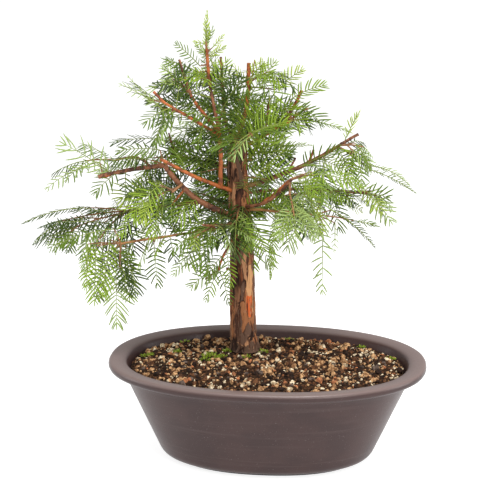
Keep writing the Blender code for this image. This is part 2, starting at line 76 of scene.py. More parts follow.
def finish_piece(obj, name):
    """Apply all modifiers and the place, so that the object sits at the origin."""
    take(obj)
    for step in list(obj.modifiers):
        bpy.ops.object.modifier_apply(modifier=step.name)
    bpy.ops.object.transform_apply(location=True, rotation=True, scale=True)
    obj.name = obj.data.name = name
    return obj


def loft(name, levels, sides, power=2.0):
    """A disc, extruded and resized level by level. Each level is half length, half width and
    height, in millimetres. A power above 2 gives the disc fuller shoulders than a circle."""
    let_go()
    bpy.ops.mesh.primitive_circle_add(vertices=sides, radius=1.0, fill_type="NGON")
    obj = bpy.context.object
    for vert in obj.data.vertices:
        vert.co.xy = [math.copysign(abs(value) ** (2 / power), value) for value in vert.co.xy]
    bpy.ops.object.mode_set(mode="EDIT")
    bpy.ops.mesh.select_all(action="SELECT")
    long, wide, height = levels[0]
    bpy.ops.transform.resize(value=(long * MM, wide * MM, 1), center_override=(0, 0, 0))
    bpy.ops.transform.translate(value=(0, 0, height * MM))
    for next_long, next_wide, next_height in levels[1:]:
        bpy.ops.mesh.extrude_region_move(
            TRANSFORM_OT_translate={"value": (0, 0, (next_height - height) * MM)})
        bpy.ops.transform.resize(value=(next_long / long, next_wide / wide, 1),
                                 center_override=(0, 0, 0))
        long, wide, height = next_long, next_wide, next_height
    bpy.ops.mesh.select_all(action="SELECT")
    bpy.ops.mesh.normals_make_consistent(inside=False)
    bpy.ops.object.mode_set(mode="OBJECT")
    return finish_piece(obj, name)


def mesh_from_arrays(name, points, faces, material_index=None):
    """One joined mesh from an array of points and an array of faces with equal corners."""
    mesh = bpy.data.meshes.new(name)
    count, corners = faces.shape
    mesh.vertices.add(len(points))
    mesh.vertices.foreach_set("co", np.asarray(points, np.float32).ravel())
    mesh.loops.add(count * corners)
    mesh.loops.foreach_set("vertex_index", faces.astype(np.int32).ravel())
    mesh.polygons.add(count)
    mesh.polygons.foreach_set("loop_start", np.arange(0, count * corners, corners, dtype=np.int32))
    if material_index is not None:
        mesh.polygons.foreach_set("material_index", material_index.astype(np.int32))
    mesh.update(calc_edges=True)
    obj = bpy.data.objects.new(name, mesh)
    bpy.context.scene.collection.objects.link(obj)
    return obj


def triangles(obj):
    return sum(len(face.vertices) - 2 for face in obj.data.polygons)


# %% [markdown]
# ## Camera
#
# The picture was taken from a little above the rim and a little to the right, with a long
# lens from well back, which keeps the oval of the rim almost even. The camera looks at a
# point halfway up the tree.

# %% The camera
CAMERA_ELEVATION = 14.6
CAMERA_AZIMUTH = 6.3
CAMERA_DISTANCE = 1.4
CAMERA_LENS = 114.3
CAMERA_TARGET = (-0.0152, -0.0013, 0.1895)

across, upward = math.radians(CAMERA_AZIMUTH), math.radians(CAMERA_ELEVATION)
back = Vector((math.sin(across) * math.cos(upward),
               -math.cos(across) * math.cos(upward), math.sin(upward)))
camera = bpy.data.objects.new("camera", bpy.data.cameras.new("camera"))
bpy.context.scene.collection.objects.link(camera)
camera.data.lens = CAMERA_LENS
camera.location = Vector(CAMERA_TARGET) + back * CAMERA_DISTANCE
camera.rotation_mode = "QUATERNION"
camera.rotation_quaternion = (-back).to_track_quat("-Z", "Y")
bpy.context.scene.camera = camera
print("camera at", [round(value, 3) for value in camera.location])

# %% [markdown]
# ## Studio
#
# The tree stands on a white table. The main light comes from overhead and the front right,
# small enough to give the leaves dark undersides, and a panel on each side puts a pale edge
# on the pot. The backdrop is pure white to the camera but gives the tree less light than
# that, and the table glows a little, so the picture stays white while the crown keeps depth.

# %% Floor, panels and world
FLOOR_HALF = 12.0
PANELS = [                     # name, place, aim, size in metres, power in watts
    ("panel_top", (0.2, -0.5, 1.5), (0, 0, 0.2), 0.6, 19),
    ("panel_front", (0.9, -1.5, 0.8), (0, 0, 0.15), 0.5, 10),
    ("panel_left", (-1.2, -0.1, 0.4), (0, 0, 0.1), 0.6, 4),
    ("panel_right", (1.3, 0.0, 0.4), (0, 0, 0.1), 0.7, 7),
]
BACKDROP, ROOM_LIGHT = 1.03, 0.54
FLOOR_GREY, FLOOR_GLOW = 0.5, 0.80

let_go()
bpy.ops.mesh.primitive_plane_add(size=2 * FLOOR_HALF)
floor = bpy.context.object
floor.name = "floor"
paint = bpy.data.materials.new("floor")
paint.use_nodes = True
glow = paint.node_tree.nodes["Principled BSDF"]
glow.inputs["Base Color"].default_value = (FLOOR_GREY, FLOOR_GREY, FLOOR_GREY, 1)
glow.inputs["Roughness"].default_value = 0.9
glow.inputs["Emission Color"].default_value = (1, 1, 1, 1)
glow.inputs["Emission Strength"].default_value = FLOOR_GLOW
floor.data.materials.append(paint)

for name, place, aim, size, power in PANELS:
    panel = bpy.data.objects.new(name, bpy.data.lights.new(name, "AREA"))
    bpy.context.scene.collection.objects.link(panel)
    panel.data.size = size
    panel.data.energy = power
    panel.location = place
    panel.rotation_euler = (Vector(aim) - Vector(place)).to_track_quat("-Z", "Y").to_euler()

world = bpy.data.worlds.new("studio")
world.use_nodes = True
sky = world.node_tree.nodes["Background"]
sky.inputs["Color"].default_value = (1, 1, 1, 1)
seen = world.node_tree.nodes.new("ShaderNodeLightPath")
strength = world.node_tree.nodes.new("ShaderNodeMapRange")
strength.inputs["To Min"].default_value = ROOM_LIGHT
strength.inputs["To Max"].default_value = BACKDROP
world.node_tree.links.new(seen.outputs["Is Camera Ray"], strength.inputs["Value"])
world.node_tree.links.new(strength.outputs["Result"], sky.inputs["Strength"])
bpy.context.scene.world = world
bpy.context.scene.view_settings.view_transform = "Standard"
print("panels", len(PANELS))

# %% [markdown]
# ## Shader groups
#
# Two effects come back on many surfaces, so each is a node group with its own name: soft clouds
# of a second tone, which turn to streaks when they are stretched, and a fine grain that feeds a
# bump. A group gives out only colours and values. The shader itself stays in each material.

# %% Node group helpers
def new_group(name, inputs, outputs):
    group = bpy.data.node_groups.new(name, "ShaderNodeTree")
    for label, kind, value in inputs:
        socket = group.interface.new_socket(label, in_out="INPUT", socket_type="NodeSocket" + kind)
        if value is not None:
            socket.default_value = value
    for label, kind in outputs:
        group.interface.new_socket(label, in_out="OUTPUT", socket_type="NodeSocket" + kind)
    return group, group.nodes.new("NodeGroupInput"), group.nodes.new("NodeGroupOutput")


def node(tree, kind, links=(), **settings):
    """Add a node, set its fields and inputs, and link sockets into it."""
    made = tree.nodes.new("ShaderNode" + kind)
    for key, value in settings.items():
        if hasattr(made, key):
            setattr(made, key, value)
        else:
            made.inputs[key.replace("_", " ")].default_value = value
    for label, source in links:
        tree.links.new(source, made.inputs[label])
    return made


def ramp(tree, source, low, high):
    """A smooth step from 0 at low to 1 at high."""
    return node(tree, "MapRange", [("Value", source)], interpolation_type="SMOOTHSTEP",
                From_Min=low, From_Max=high).outputs["Result"]


# %% The groups
def stretched_noise(group, inside, **settings):
    """Noise at the group's own scale, stretched as its Stretch vector says."""
    place = node(group, "TexCoord").outputs["Object"]
    spread = node(group, "VectorMath", [(0, place), (1, inside.outputs["Stretch"])],
                  operation="MULTIPLY")
    return node(group, "TexNoise", [("Vector", spread.outputs[0]),
                                    ("Scale", inside.outputs["Scale"])], **settings).outputs["Fac"]


def make_clouds():
    """Two tones in soft clouds, stretched as the Stretch vector says."""
    group, inside, outside = new_group("clouds", [
        ("Tone", "Color", (0.5, 0.5, 0.5, 1)), ("Second Tone", "Color", (0.3, 0.3, 0.3, 1)),
        ("Scale", "Float", 30.0), ("Stretch", "Vector", (1, 1, 1)),
        ("From", "Float", 0.4), ("To", "Float", 0.6)], [("Color", "Color"), ("Mask", "Float")])
    cloud = stretched_noise(group, inside, Detail=4.0, Roughness=0.55)
    mask = node(group, "MapRange", [("Value", cloud), ("From Min", inside.outputs["From"]),
                                    ("From Max", inside.outputs["To"])],
                interpolation_type="SMOOTHSTEP")
    mixed = node(group, "Mix", [("Factor", mask.outputs["Result"]), (6, inside.outputs["Tone"]),
                                (7, inside.outputs["Second Tone"])], data_type="RGBA")
    group.links.new(mixed.outputs[2], outside.inputs["Color"])
    group.links.new(mask.outputs["Result"], outside.inputs["Mask"])
    return group


def make_grain():
    """Fine grain: a height for a bump, and a roughness that varies with it."""
    group, inside, outside = new_group("grain", [
        ("Scale", "Float", 900.0), ("Stretch", "Vector", (1, 1, 1)), ("Roughness", "Float", 0.5),
        ("Spread", "Float", 0.1)], [("Height", "Float"), ("Roughness", "Float")])
    fine = stretched_noise(group, inside, Detail=3.0)
    centred = node(group, "Math", [(0, fine)], operation="SUBTRACT")
    centred.inputs[1].default_value = 0.5
    scaled = node(group, "Math", [(0, centred.outputs[0]), (1, inside.outputs["Spread"])],
                  operation="MULTIPLY")
    rough = node(group, "Math", [(0, scaled.outputs[0]), (1, inside.outputs["Roughness"])],
                 operation="ADD")
    group.links.new(fine, outside.inputs["Height"])
    group.links.new(rough.outputs[0], outside.inputs["Roughness"])
    return group


CLOUDS, GRAIN = make_clouds(), make_grain()
print("groups", [group.name for group in bpy.data.node_groups])


# %% A material from the groups
def use_group(tree, group, **values):
    made = node(tree, "Group")
    made.node_tree = group
    for key, value in values.items():
        label = key.replace("_", " ")
        if hasattr(value, "is_linked"):
            tree.links.new(value, made.inputs[label])
        else:
            made.inputs[label].default_value = value
    return made


def rgb(red, green, blue):
    return (red, green, blue, 1.0)


def new_material(name, roughness=0.5, specular=0.5):
    material = bpy.data.materials.new(name)
    material.use_nodes = True
    shader = material.node_tree.nodes["Principled BSDF"]
    shader.inputs["Roughness"].default_value = roughness
    shader.inputs["Specular IOR Level"].default_value = specular
    return material, material.node_tree, shader


def add_grain(tree, shader, scale, stretch, roughness, spread, depth):
    """Fine bump of a depth in millimetres, with the roughness that goes with it."""
    grain = use_group(tree, GRAIN, Scale=scale, Stretch=stretch, Roughness=roughness, Spread=spread)
    bump = node(tree, "Bump", [("Height", grain.outputs["Height"])], Strength=1.0,
                Distance=depth * MM)
    tree.links.new(grain.outputs["Roughness"], shader.inputs["Roughness"])
    tree.links.new(bump.outputs["Normal"], shader.inputs["Normal"])
    return bump


def laid_over(tree, share, under, tone):
    """A plain tone over a colour, as far as the share says."""
    mixed = node(tree, "Mix", [("Factor", share), (6, under)], data_type="RGBA")
    mixed.inputs[7].default_value = tone
    return mixed.outputs[2]


def cloudy_material(name, tone, second, scale, stretch=(1, 1, 1), window=(0.4, 0.6),
                    grain=(900.0, (1, 1, 1), 0.6, 0.1, 0.2), specular=0.5):
    """A two-tone material with fine grain: enough for soil, moss and young bark."""
    material, tree, shader = new_material(name, specular=specular)
    clouds = use_group(tree, CLOUDS, Tone=tone, Second_Tone=second, Scale=scale, Stretch=stretch,
                       From=window[0], To=window[1])
    tree.links.new(clouds.outputs["Color"], shader.inputs["Base Color"])
    add_grain(tree, shader, *grain)
    return material


# %% [markdown]
# ## The pot
#
# The pot is unglazed stoneware: an oval bowl on a low inset foot, its wall rounded under and
# rising straight to a broad flat flange with a rolled lip. It could be a curve turned round
# an axis, but an oval has no axis. So a disc is extruded and resized up the outside of the
# profile and down the inside, with a short arc of levels at every rounding.

# %% Profile of the pot
RIM = (142.5, 101.5)           # half length and half width of the lip
RIM_TOP = 90.0
WALL_BASE, WALL_TOP = (95.0, 67.0), (130.5, 87.5)
FOOT = (85.0, 57.5)
FOOT_HEIGHT = 4.0
LIP_FOOT = 82.0
BASE_ROUND, ROUND_TUCK = 6.0, 0.6
WALL_THICKNESS = 6.0
OVAL_POWER = 2.2
POT_SIDES = 160
LIP = [                        # drawn in from the rim's edge, height
    (8.0, 81.6), (5.0, 81.9), (2.6, 82.4), (1.0, 83.4), (0.2, 84.8), (0.0, 86.2), (0.3, 87.8),
    (1.1, 89.1), (2.2, 89.8), (3.4, 90.0), (8.0, 89.5), (12.0, 89.0), (14.2, 88.6),
    (15.4, 87.9), (16.4, 86.8), (17.0, 85.2),
]


def wall_at(height):
    share = (height - FOOT_HEIGHT) / (LIP_FOOT - FOOT_HEIGHT)
    return [low + (high - low) * share for low, high in zip(WALL_BASE, WALL_TOP)]


def drawn_in(oval, inward):
    return oval[0] - inward, oval[1] - inward


pot_levels = [(*drawn_in(FOOT, 0.8), 0.0), (*FOOT, 0.8), (*FOOT, FOOT_HEIGHT)]
for degrees in range(0, 91, 10):
    turn = math.radians(degrees)
    height = FOOT_HEIGHT + BASE_ROUND * (1 - math.cos(turn))
    tuck = ROUND_TUCK * BASE_ROUND * (1 - math.sin(turn))
    pot_levels.append((*drawn_in(wall_at(height), tuck), height))
for height in range(16, 73, 8):
    pot_levels.append((*wall_at(height), height))
pot_levels += [(*drawn_in(wall_at(height), inward), height) for height, inward in
               ((76.0, -0.2), (78.4, -0.8), (80.2, -2.0))]
pot_levels += [(*drawn_in(RIM, inward), height) for inward, height in LIP]
for height, tuck in ((80.0, 0.0), (19.0, 0.0), (15.0, 2.0), (12.0, 8.0)):
    pot_levels.append((*drawn_in(wall_at(height), WALL_THICKNESS + tuck), height))
pot = loft("pot_shell", pot_levels, POT_SIDES, OVAL_POWER)
take(pot)
bpy.ops.object.shade_smooth_by_angle(angle=math.radians(50))
print("pot levels", len(pot_levels), "triangles", triangles(pot))

# %% [markdown]
# Unglazed stoneware is nearly matt, with a faint sheen where the wall was smoothed wet. The
# clay fires to a brown grey with soft darker clouds, faint level lines from the turning, and
# a fine grit. The flange is painted paler, partly for wear and partly as a painted sheen where
# the top catches the light, and the foot is painted almost black as a painted shadow under the pot.

# %% Stoneware
WEAR_AND_SHEEN_DEPTH = 3.5             # how far down from the rim's top the clay is paler: wear, and a painted sheen
PAINTED_SHADOW_FROM, PAINTED_SHADOW_TO = 5.2, 3.6  # heights between which the wall is painted dark, a painted shadow under the pot


def make_stoneware():
    material, tree, shader = new_material("stoneware", specular=0.3)
    clouds = use_group(tree, CLOUDS, Tone=rgb(0.050, 0.026, 0.024),
                       Second_Tone=rgb(0.040, 0.021, 0.020), Scale=26.0,
                       Stretch=(1.0, 1.0, 1.6), From=0.38, To=0.66)
    lines = use_group(tree, CLOUDS, Tone=clouds.outputs["Color"],
                      Second_Tone=rgb(0.068, 0.042, 0.039), Scale=40.0,
                      Stretch=(0.25, 0.25, 9.0), From=0.5, To=0.9)
    grit = use_group(tree, CLOUDS, Tone=lines.outputs["Color"],
                     Second_Tone=rgb(0.13, 0.10, 0.095), Scale=900.0, From=0.64, To=0.74)
    place = node(tree, "SeparateXYZ", [("Vector", node(tree, "TexCoord").outputs["Object"])])
    # The flange is painted pale from here up: partly wear, partly a painted sheen where the top
    # catches the light.
    high = ramp(tree, place.outputs["Z"], (RIM_TOP - WEAR_AND_SHEEN_DEPTH) * MM, RIM_TOP * MM)
    worn_and_sheen = laid_over(tree, high, grit.outputs["Color"], rgb(0.180, 0.130, 0.120))
    # The lowest few millimetres are painted almost black: a painted shadow where the foot meets the
    # table.
    low = ramp(tree, place.outputs["Z"], PAINTED_SHADOW_FROM * MM, PAINTED_SHADOW_TO * MM)
    shaded = laid_over(tree, low, worn_and_sheen, rgb(0.012, 0.008, 0.008))
    tree.links.new(shaded, shader.inputs["Base Color"])
    add_grain(tree, shader, 700.0, (1.0, 1.0, 1.4), 0.34, 0.22, 0.08)
    return material


pot.data.materials.append(make_stoneware())
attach(pot, "root")
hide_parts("pot")

# %% [markdown]
# ## The soil
#
# The pot is filled with a gritty mix: dark bark and peat with grains of tan clay, pale pumice
# and orange brick, 3 to 7 mm across. The solid's own surface carries the dark fines. The
# grains are angular stones, so each is a ball whose sides are pressed flat against a few
# planes. Ten stones are modelled, and thousands of turned copies are joined by colour.

# %% Fines and stones
SOIL_TOP = 85.0
SOIL_HALF = (123.0, 79.6)
STONE_SHAPES = 10
STONE_TINTS = {                # tone, second tone, share of the grains
    "peat": ((0.030, 0.013, 0.007), (0.010, 0.005, 0.003), 0.30),
    "bark": ((0.140, 0.058, 0.024), (0.040, 0.017, 0.008), 0.24),
    "tan": ((0.56, 0.33, 0.16), (0.18, 0.085, 0.035), 0.21),
    "brick": ((0.46, 0.17, 0.07), (0.20, 0.08, 0.035), 0.06),
    "pumice": ((0.78, 0.66, 0.46), (0.34, 0.24, 0.14), 0.11),
    "slate": ((0.13, 0.09, 0.07), (0.05, 0.035, 0.027), 0.06),
}

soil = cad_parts["soil"]
soil.data.materials.clear()
soil.data.materials.append(cloudy_material(
    "soil_fines", rgb(0.014, 0.007, 0.004), rgb(0.050, 0.024, 0.011), 260.0,
    grain=(600.0, (1, 1, 1), 0.9, 0.1, 0.8), specular=0.1))


def stone_shape(draw):
    """A ball with its sides pressed flat against chance planes."""
    let_go()
    bpy.ops.mesh.primitive_ico_sphere_add(subdivisions=2, radius=1.0)
    ball = bpy.context.object
    planes = [(Vector([draw.gauss(0, 1) for _ in range(3)]).normalized(), draw.uniform(0.38, 0.72))
              for _ in range(8)]
    for vert in ball.data.vertices:
        for normal, reach in planes:
            vert.co -= normal * max(0.0, vert.co.dot(normal) - reach)
        vert.co.z *= 0.85
    points = np.array([vert.co for vert in ball.data.vertices])
    faces = np.array([face.vertices[:] for face in ball.data.polygons])
    bpy.data.objects.remove(ball, do_unlink=True)
    return points, faces


soil_skin = BVHTree.FromObject(soil, bpy.context.evaluated_depsgraph_get())


def soil_height(x, y):
    """Height of the solid's soil under a place, in millimetres."""
    hit = soil_skin.ray_cast(Vector((x, y, 200.0)) * MM, Vector((0, 0, -1)))[0]
    return hit.z / MM if hit else None


def in_oval(x, y, half, inward=0.0):
    long, wide = half[0] - inward, half[1] - inward
    return (abs(x) / long) ** OVAL_POWER + (abs(y) / wide) ** OVAL_POWER < 1


def chance_turn(draw):
    return Matrix.Rotation(draw.uniform(0, math.tau), 3, (0, 0, 1)) @ Matrix.Rotation(
        draw.uniform(0, math.pi), 3, (1, 0, 0))


def copies(shape, places):
    """Points and faces of one shape at many places, each a 3 x 3 turn with size and a point."""
    points, faces = shape
    turns = np.array([turn for turn, _ in places])
    spots = np.array([spot for _, spot in places])
    moved = np.einsum("nij,pj->npi", turns, points) + spots[:, None, :]
    shift = np.arange(len(places))[:, None, None] * len(points)
    return moved.reshape(-1, 3), (faces[None] + shift).reshape(-1, faces.shape[1])


def join_arrays(parts):
    points, faces, start = [], [], 0
    for some_points, some_faces in parts:
        points.append(some_points)
        faces.append(some_faces + start)
        start += len(some_points)
    return np.vstack(points), np.vstack(faces)


# %% Scatter the stones
GRAIN_PITCH, ROW_SHARE = 3.1, 0.87     # rows lie closer than the grains of one row
GRAIN_SIZE = (0.48, 0.46)      # middle and spread of the logarithm of a grain's radius
LARGEST_GRAIN, COARSE_GRAIN = 4.0, 2.6
SINK, RISE = -0.6, 0.3         # a grain's middle from the soil, as shares of its radius
PATCH = 16.0                   # size of the darker and paler patches
TRUNK_FOOT = (-23.7, 33.9)
TRUNK_CLEAR = 12.5
draw = random.Random(11)
shapes = [stone_shape(draw) for _ in range(STONE_SHAPES)]
tints, shares = list(STONE_TINTS), [row[2] for row in STONE_TINTS.values()]
stones = {tint: [[] for _ in shapes] for tint in tints}
y = -SOIL_HALF[1]
while y < SOIL_HALF[1]:
    x = -SOIL_HALF[0]
    while x < SOIL_HALF[0]:
        spot_x = x + draw.uniform(-0.5, 0.5) * GRAIN_PITCH
        spot_y = y + draw.uniform(-0.5, 0.5) * GRAIN_PITCH
        radius = min(draw.lognormvariate(*GRAIN_SIZE), LARGEST_GRAIN)
        from_trunk = math.hypot(spot_x - TRUNK_FOOT[0], spot_y - TRUNK_FOOT[1])
        if from_trunk > TRUNK_CLEAR + radius and in_oval(spot_x, spot_y, SOIL_HALF, radius):
            tint = draw.choices(tints, shares)[0]
            patch = noise.noise(Vector((spot_x, spot_y, 5.0)) / PATCH)
            if patch > 0.12 and draw.random() < 0.6:
                tint = draw.choice(("peat", "bark", "peat"))
            elif patch < -0.15 and draw.random() < 0.4:
                tint = draw.choice(("tan", "pumice", "bark"))
            if radius > COARSE_GRAIN and tint in ("peat", "bark") and draw.random() < 0.5:
                tint = "tan"
            height = soil_height(spot_x, spot_y) + radius * draw.uniform(SINK, RISE)
            turn = chance_turn(draw) * (radius * MM)
            stones[tint][draw.randrange(len(shapes))].append(
                (turn, (spot_x * MM, spot_y * MM, height * MM)))
        x += GRAIN_PITCH
    y += GRAIN_PITCH * ROW_SHARE

# %% Join the stones of each colour
for tint, by_shape in stones.items():
    parts = [copies(shape, places) for shape, places in zip(shapes, by_shape) if places]
    grains = mesh_from_arrays("grains_" + tint, *join_arrays(parts))
    tone, second, _ = STONE_TINTS[tint]
    grains.data.materials.append(cloudy_material(
        "grain_" + tint, rgb(*tone), rgb(*second), 420.0,
        grain=(1500.0, (1, 1, 1), 0.85, 0.1, 0.25), specular=0.2))
    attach(grains, "root")
    print(grains.name, sum(len(places) for places in by_shape), "stones", triangles(grains))

# %% [markdown]
# ## The growth tables
#
# The solids were grown from two tables, and nearly the same tables are used again here, so that
# the fine tree follows the plain one. Five limbs run on into their leaves, past the end of their
# solids, and five masses of the top are rolled less. A limb has its parent, the place where it
# leaves it, its heading and climb, its length, and how much it bends. These rows were not drawn
# by hand: a program fitted them to points marked on the picture. A mass of foliage has the limb
# it grows from, the aim of its stem, its reach, its bow, and the size of its sprays.

# %% Limbs and masses
TRUNK_LINE = [                 # height above the soil, shift in X, radius
    (0, 0.0, 15.5), (3, 0.0, 14.0), (10, -0.5, 12.8), (24, -1.4, 11.9), (53, -2.3, 11.6),
    (84, -2.7, 11.2), (110, -2.7, 10.2), (128, -4.0, 9.8), (146, -5.4, 9.6),
    (169, -7.1, 9.2), (187, -6.6, 8.6), (199, -5.7, 7.2),
]
LIMBS = [                      # name, parent, at, heading, climb, length, turn, lift, radii, bark
    ("left_main", "trunk", 125, 215, 15, 88, -40, 42, 3.0, 2.2, "old"),
    ("left_outer", "left_main", 88, 185, -5, 60, 5, -10, 2.1, 1.7, "old"),
    ("left_fern", "left_outer", 14, 115, 25, 44, 65, -48, 1.3, 1.0, "young"),
    ("left_high", "trunk", 148, 225, 20, 82, -30, 12, 2.0, 1.4, "red"),
    ("left_back", "trunk", 171, 150, 0, 66, 28, 14, 1.6, 1.0, "old"),
    ("left_bright", "left_main", 65, 295, 25, 28, -70, -55, 1.3, 0.9, "young"),
    ("left_low", "left_main", 41, 160, -10, 73, 23, 0, 1.7, 1.0, "old"),
    ("left_long", "trunk", 117, 230, 5, 116, -54, -18, 1.3, 1.0, "yellow"),
    ("front_left", "trunk", 123, 255, 0, 64, -20, 15, 1.7, 1.0, "old"),
    ("front_low", "trunk", 119, 280, -12, 54, -120, -70, 1.3, 1.0, "red"),
    ("right_main", "trunk", 152, 25, 10, 100, -30, 25, 2.7, 1.5, "old"),
    ("front_right", "trunk", 137, 316, 0, 70, 26, 56, 1.8, 1.2, "old"),
    ("front_hanging", "front_right", 66, 280, -35, 12, -15, -30, 1.1, 1.0, "young"),
    ("right_low", "trunk", 147, 40, 0, 125, -40, -6, 1.5, 1.1, "old"),
    ("right_back", "trunk", 139, 60, -4, 95, -24, 2, 1.6, 1.1, "old"),
    ("right_thin", "trunk", 132, 325, 10, 76, 40, -18, 1.3, 1.0, "yellow"),
    ("right_upper", "trunk", 186, 20, 30, 56, -32, 0, 1.9, 1.3, "red"),
    ("right_leader", "trunk", 198, 50, 65, 50, -5, 20, 2.2, 1.5, "red"),
    ("middle_leader", "trunk", 197, 155, 16, 67, -108, 115, 1.6, 1.2, "old"),
    ("left_leader", "left_high", 21, 100, 104, 52, 20, -32, 2.0, 1.7, "red"),
    ("top_leader", "left_leader", 52, 165, 75, 70, -28, 8, 1.6, 1.2, "old"),
    ("upper_left", "left_leader", 51, 205, 45, 43, -8, 15, 1.7, 1.3, "red"),
    ("upper_side", "left_leader", 47, 220, 32, 61, -24, 0, 1.4, 1.0, "red"),
    ("front_high", "trunk", 187, 285, 14, 46, 15, 30, 1.6, 1.1, "young"),
    ("back_low", "trunk", 133, 95, 4, 58, 8, 4, 2.0, 1.3, "old"),
    ("back_left", "trunk", 132, 142, 4, 50, -12, 4, 2.0, 1.3, "old"),
    ("back_upper_left", "trunk", 179, 126, 15, 44, 4, 2, 1.6, 1.2, "young"),
    ("back_upper_right", "trunk", 186, 70, 14, 44, -2, 14, 1.6, 1.2, "young"),
]
SOLID_LENGTHS = {              # where the solid limb ends and the mass begins, if sooner
    "left_back": 38, "left_bright": 18, "left_low": 42, "front_left": 44, "upper_side": 42,
}
MASSES = [                     # name, limb, at, heading, climb, roll, angle, reach, droop, shoots,
                               # spray, width, colour
    ("top", "top_leader", None, 270, 86, 0, 32, 30, 0, 2, 24, 13, "new"),
    ("upper_left", "upper_left", None, 165, 46, -8, 60, 54, 35, 5, 38, 30, "dark"),
    ("upper_side", "upper_side", None, 184, 22, -10, 60, 64, 30, 4, 38, 28, "mid"),
    ("middle", "middle_leader", None, 160, 10, -8, 70, 48, 20, 4, 36, 28, "dark"),
    ("right_leader", "right_leader", None, 10, 42, 8, 70, 52, 50, 5, 36, 28, "new"),
    ("right_upper", "right_upper", None, 350, 58, 8, 65, 50, 80, 5, 36, 28, "mid"),
    ("left_fern", "left_fern", None, 182, 10, -42, 48, 66, 42, 3, 46, 32, "mid"),
    ("left_back", "left_back", None, 172, 12, -40, 60, 78, 30, 4, 40, 30, "dark"),
    ("left_bright", "left_bright", None, 212, -5, -20, 65, 62, 50, 4, 38, 30, "new"),
    ("left_low", "left_low", None, 183, -5, -30, 50, 126, 22, 4, 46, 34, "dark"),
    ("left_inner", "trunk", 172, 205, 2, -30, 65, 52, 30, 3, 38, 28, "mid"),
    ("left_hanging", "left_long", None, 262, -62, 0, 70, 70, 95, 3, 56, 35, "mid"),
    ("front_left", "front_left", None, 222, 0, 0, 65, 58, 60, 4, 38, 30, "new"),
    ("front_low", "front_low", None, 215, -15, 0, 65, 44, 50, 3, 34, 26, "pale"),
    ("front", "trunk", 134, 272, 25, 0, 65, 58, 110, 4, 40, 32, "mid"),
    ("right_inner", "trunk", 163, 328, 8, 40, 60, 56, 25, 3, 42, 30, "new"),
    ("right_crest", "front_right", None, 350, 26, 30, 60, 54, 50, 4, 38, 30, "mid"),
    ("front_hanging", "front_hanging", None, 290, -30, 0, 60, 58, 60, 4, 42, 30, "pale"),
    ("right_main", "right_main", None, 5, 14, 35, 55, 70, 75, 4, 44, 30, "mid"),
    ("right_low", "right_low", None, 350, -2, 30, 55, 38, 55, 3, 32, 26, "pale"),
    ("right_thin", "right_thin", None, 318, -35, 0, 55, 68, 80, 4, 50, 27, "pale"),
    ("right_back", "right_back", None, 35, 10, 0, 60, 60, 45, 3, 40, 30, "dark"),
    ("back_low", "back_low", None, 95, 8, 0, 65, 60, 45, 4, 40, 30, "dark"),
    ("back_left", "back_left", None, 140, 8, 0, 65, 60, 45, 4, 40, 30, "dark"),
    ("back_upper_left", "back_upper_left", None, 125, 28, 0, 65, 56, 40, 4, 40, 30, "mid"),
    ("back_upper_right", "back_upper_right", None, 60, 36, 0, 65, 56, 40, 4, 40, 30, "mid"),
    ("front_high", "front_high", None, 285, 15, 0, 65, 46, 60, 3, 36, 30, "new"),
]

# %% [markdown]
# A limb is drawn as an arc whose heading and climb change evenly. A twig also carries a small
# frame of three arrows, along it, across it and out of its upper side, and the frame bows
# towards the ground as the twig grows.

# %% Paths and frames
def path_length(points):
    return sum((second - first).length for first, second in zip(points, points[1:]))


def arc_path(start, heading, climb, length, turn, lift, steps):
    points = [Vector(start)]
    for step in range(steps):
        share = (step + 0.5) / steps
        across, upward = math.radians(heading + turn * share), math.radians(climb + lift * share)
        points.append(points[-1] + length / steps * Vector((
            math.cos(across) * math.cos(upward), math.sin(across) * math.cos(upward),
            math.sin(upward))))
    return points


def along_path(points, distance):
    for first, second in zip(points, points[1:]):
        span = (second - first).length
        if distance <= span or second is points[-1]:
            heading = (second - first).normalized()
            return first + heading * min(distance, span), heading
        distance -= span


def aimed(heading, climb):
    across, upward = math.radians(heading), math.radians(climb)
    along = Vector((math.cos(across) * math.cos(upward),
                    math.sin(across) * math.cos(upward), math.sin(upward)))
    side = Vector((-math.sin(across), math.cos(across), 0))
    return Matrix((along, side, along.cross(side))).transposed()


def turned(arrows, degrees):
    return Matrix.Rotation(math.radians(degrees), 3, arrows.col[2]) @ arrows


def rolled(arrows, degrees):
    return Matrix.Rotation(math.radians(degrees), 3, arrows.col[0]) @ arrows


def bowed(arrows, degrees):
    along = arrows.col[0]
    left_over = along.angle(Vector((0, 0, -1)))
    if left_over < 1e-3:
        return arrows
    axis = along.cross(Vector((0, 0, -1))).normalized()
    return Matrix.Rotation(min(math.radians(degrees), left_over), 3, axis) @ arrows


def grow(start, arrows, length, droop, steps):
    points, frames = [start], [arrows]
    for _ in range(steps):
        arrows = bowed(arrows, droop / steps)
        points.append(points[-1] + arrows.col[0] * (length / steps))
        frames.append(arrows)
    return points, frames


# %% [markdown]
# Some things are placed by where the picture shows them. A pixel gives only a line of sight
# from the camera, so each also gets a depth: how far behind or in front of the trunk's foot it
# is. With both, the camera's own numbers give the place on the tree, and the other way round
# they give the pixel in which a place is seen. Pixels count in the picture's own 500 by 500.

# %% From the picture to the tree
PICTURE, SENSOR = 500, 36      # the picture's width in pixels, the camera's in millimetres
MIDDLE = PICTURE / 2
SCREEN = PICTURE * CAMERA_LENS / SENSOR       # pixels that one unit of slope covers
LOOK_PITCH = 2                 # millimetres between the places tried along a bough
TRUNK_ROOT = Vector((*TRUNK_FOOT, SOIL_TOP))
to_right = Vector((math.cos(across), math.sin(across), 0))
to_top = back.cross(to_right)
to_back = Vector((-math.sin(across), math.cos(across), 0))


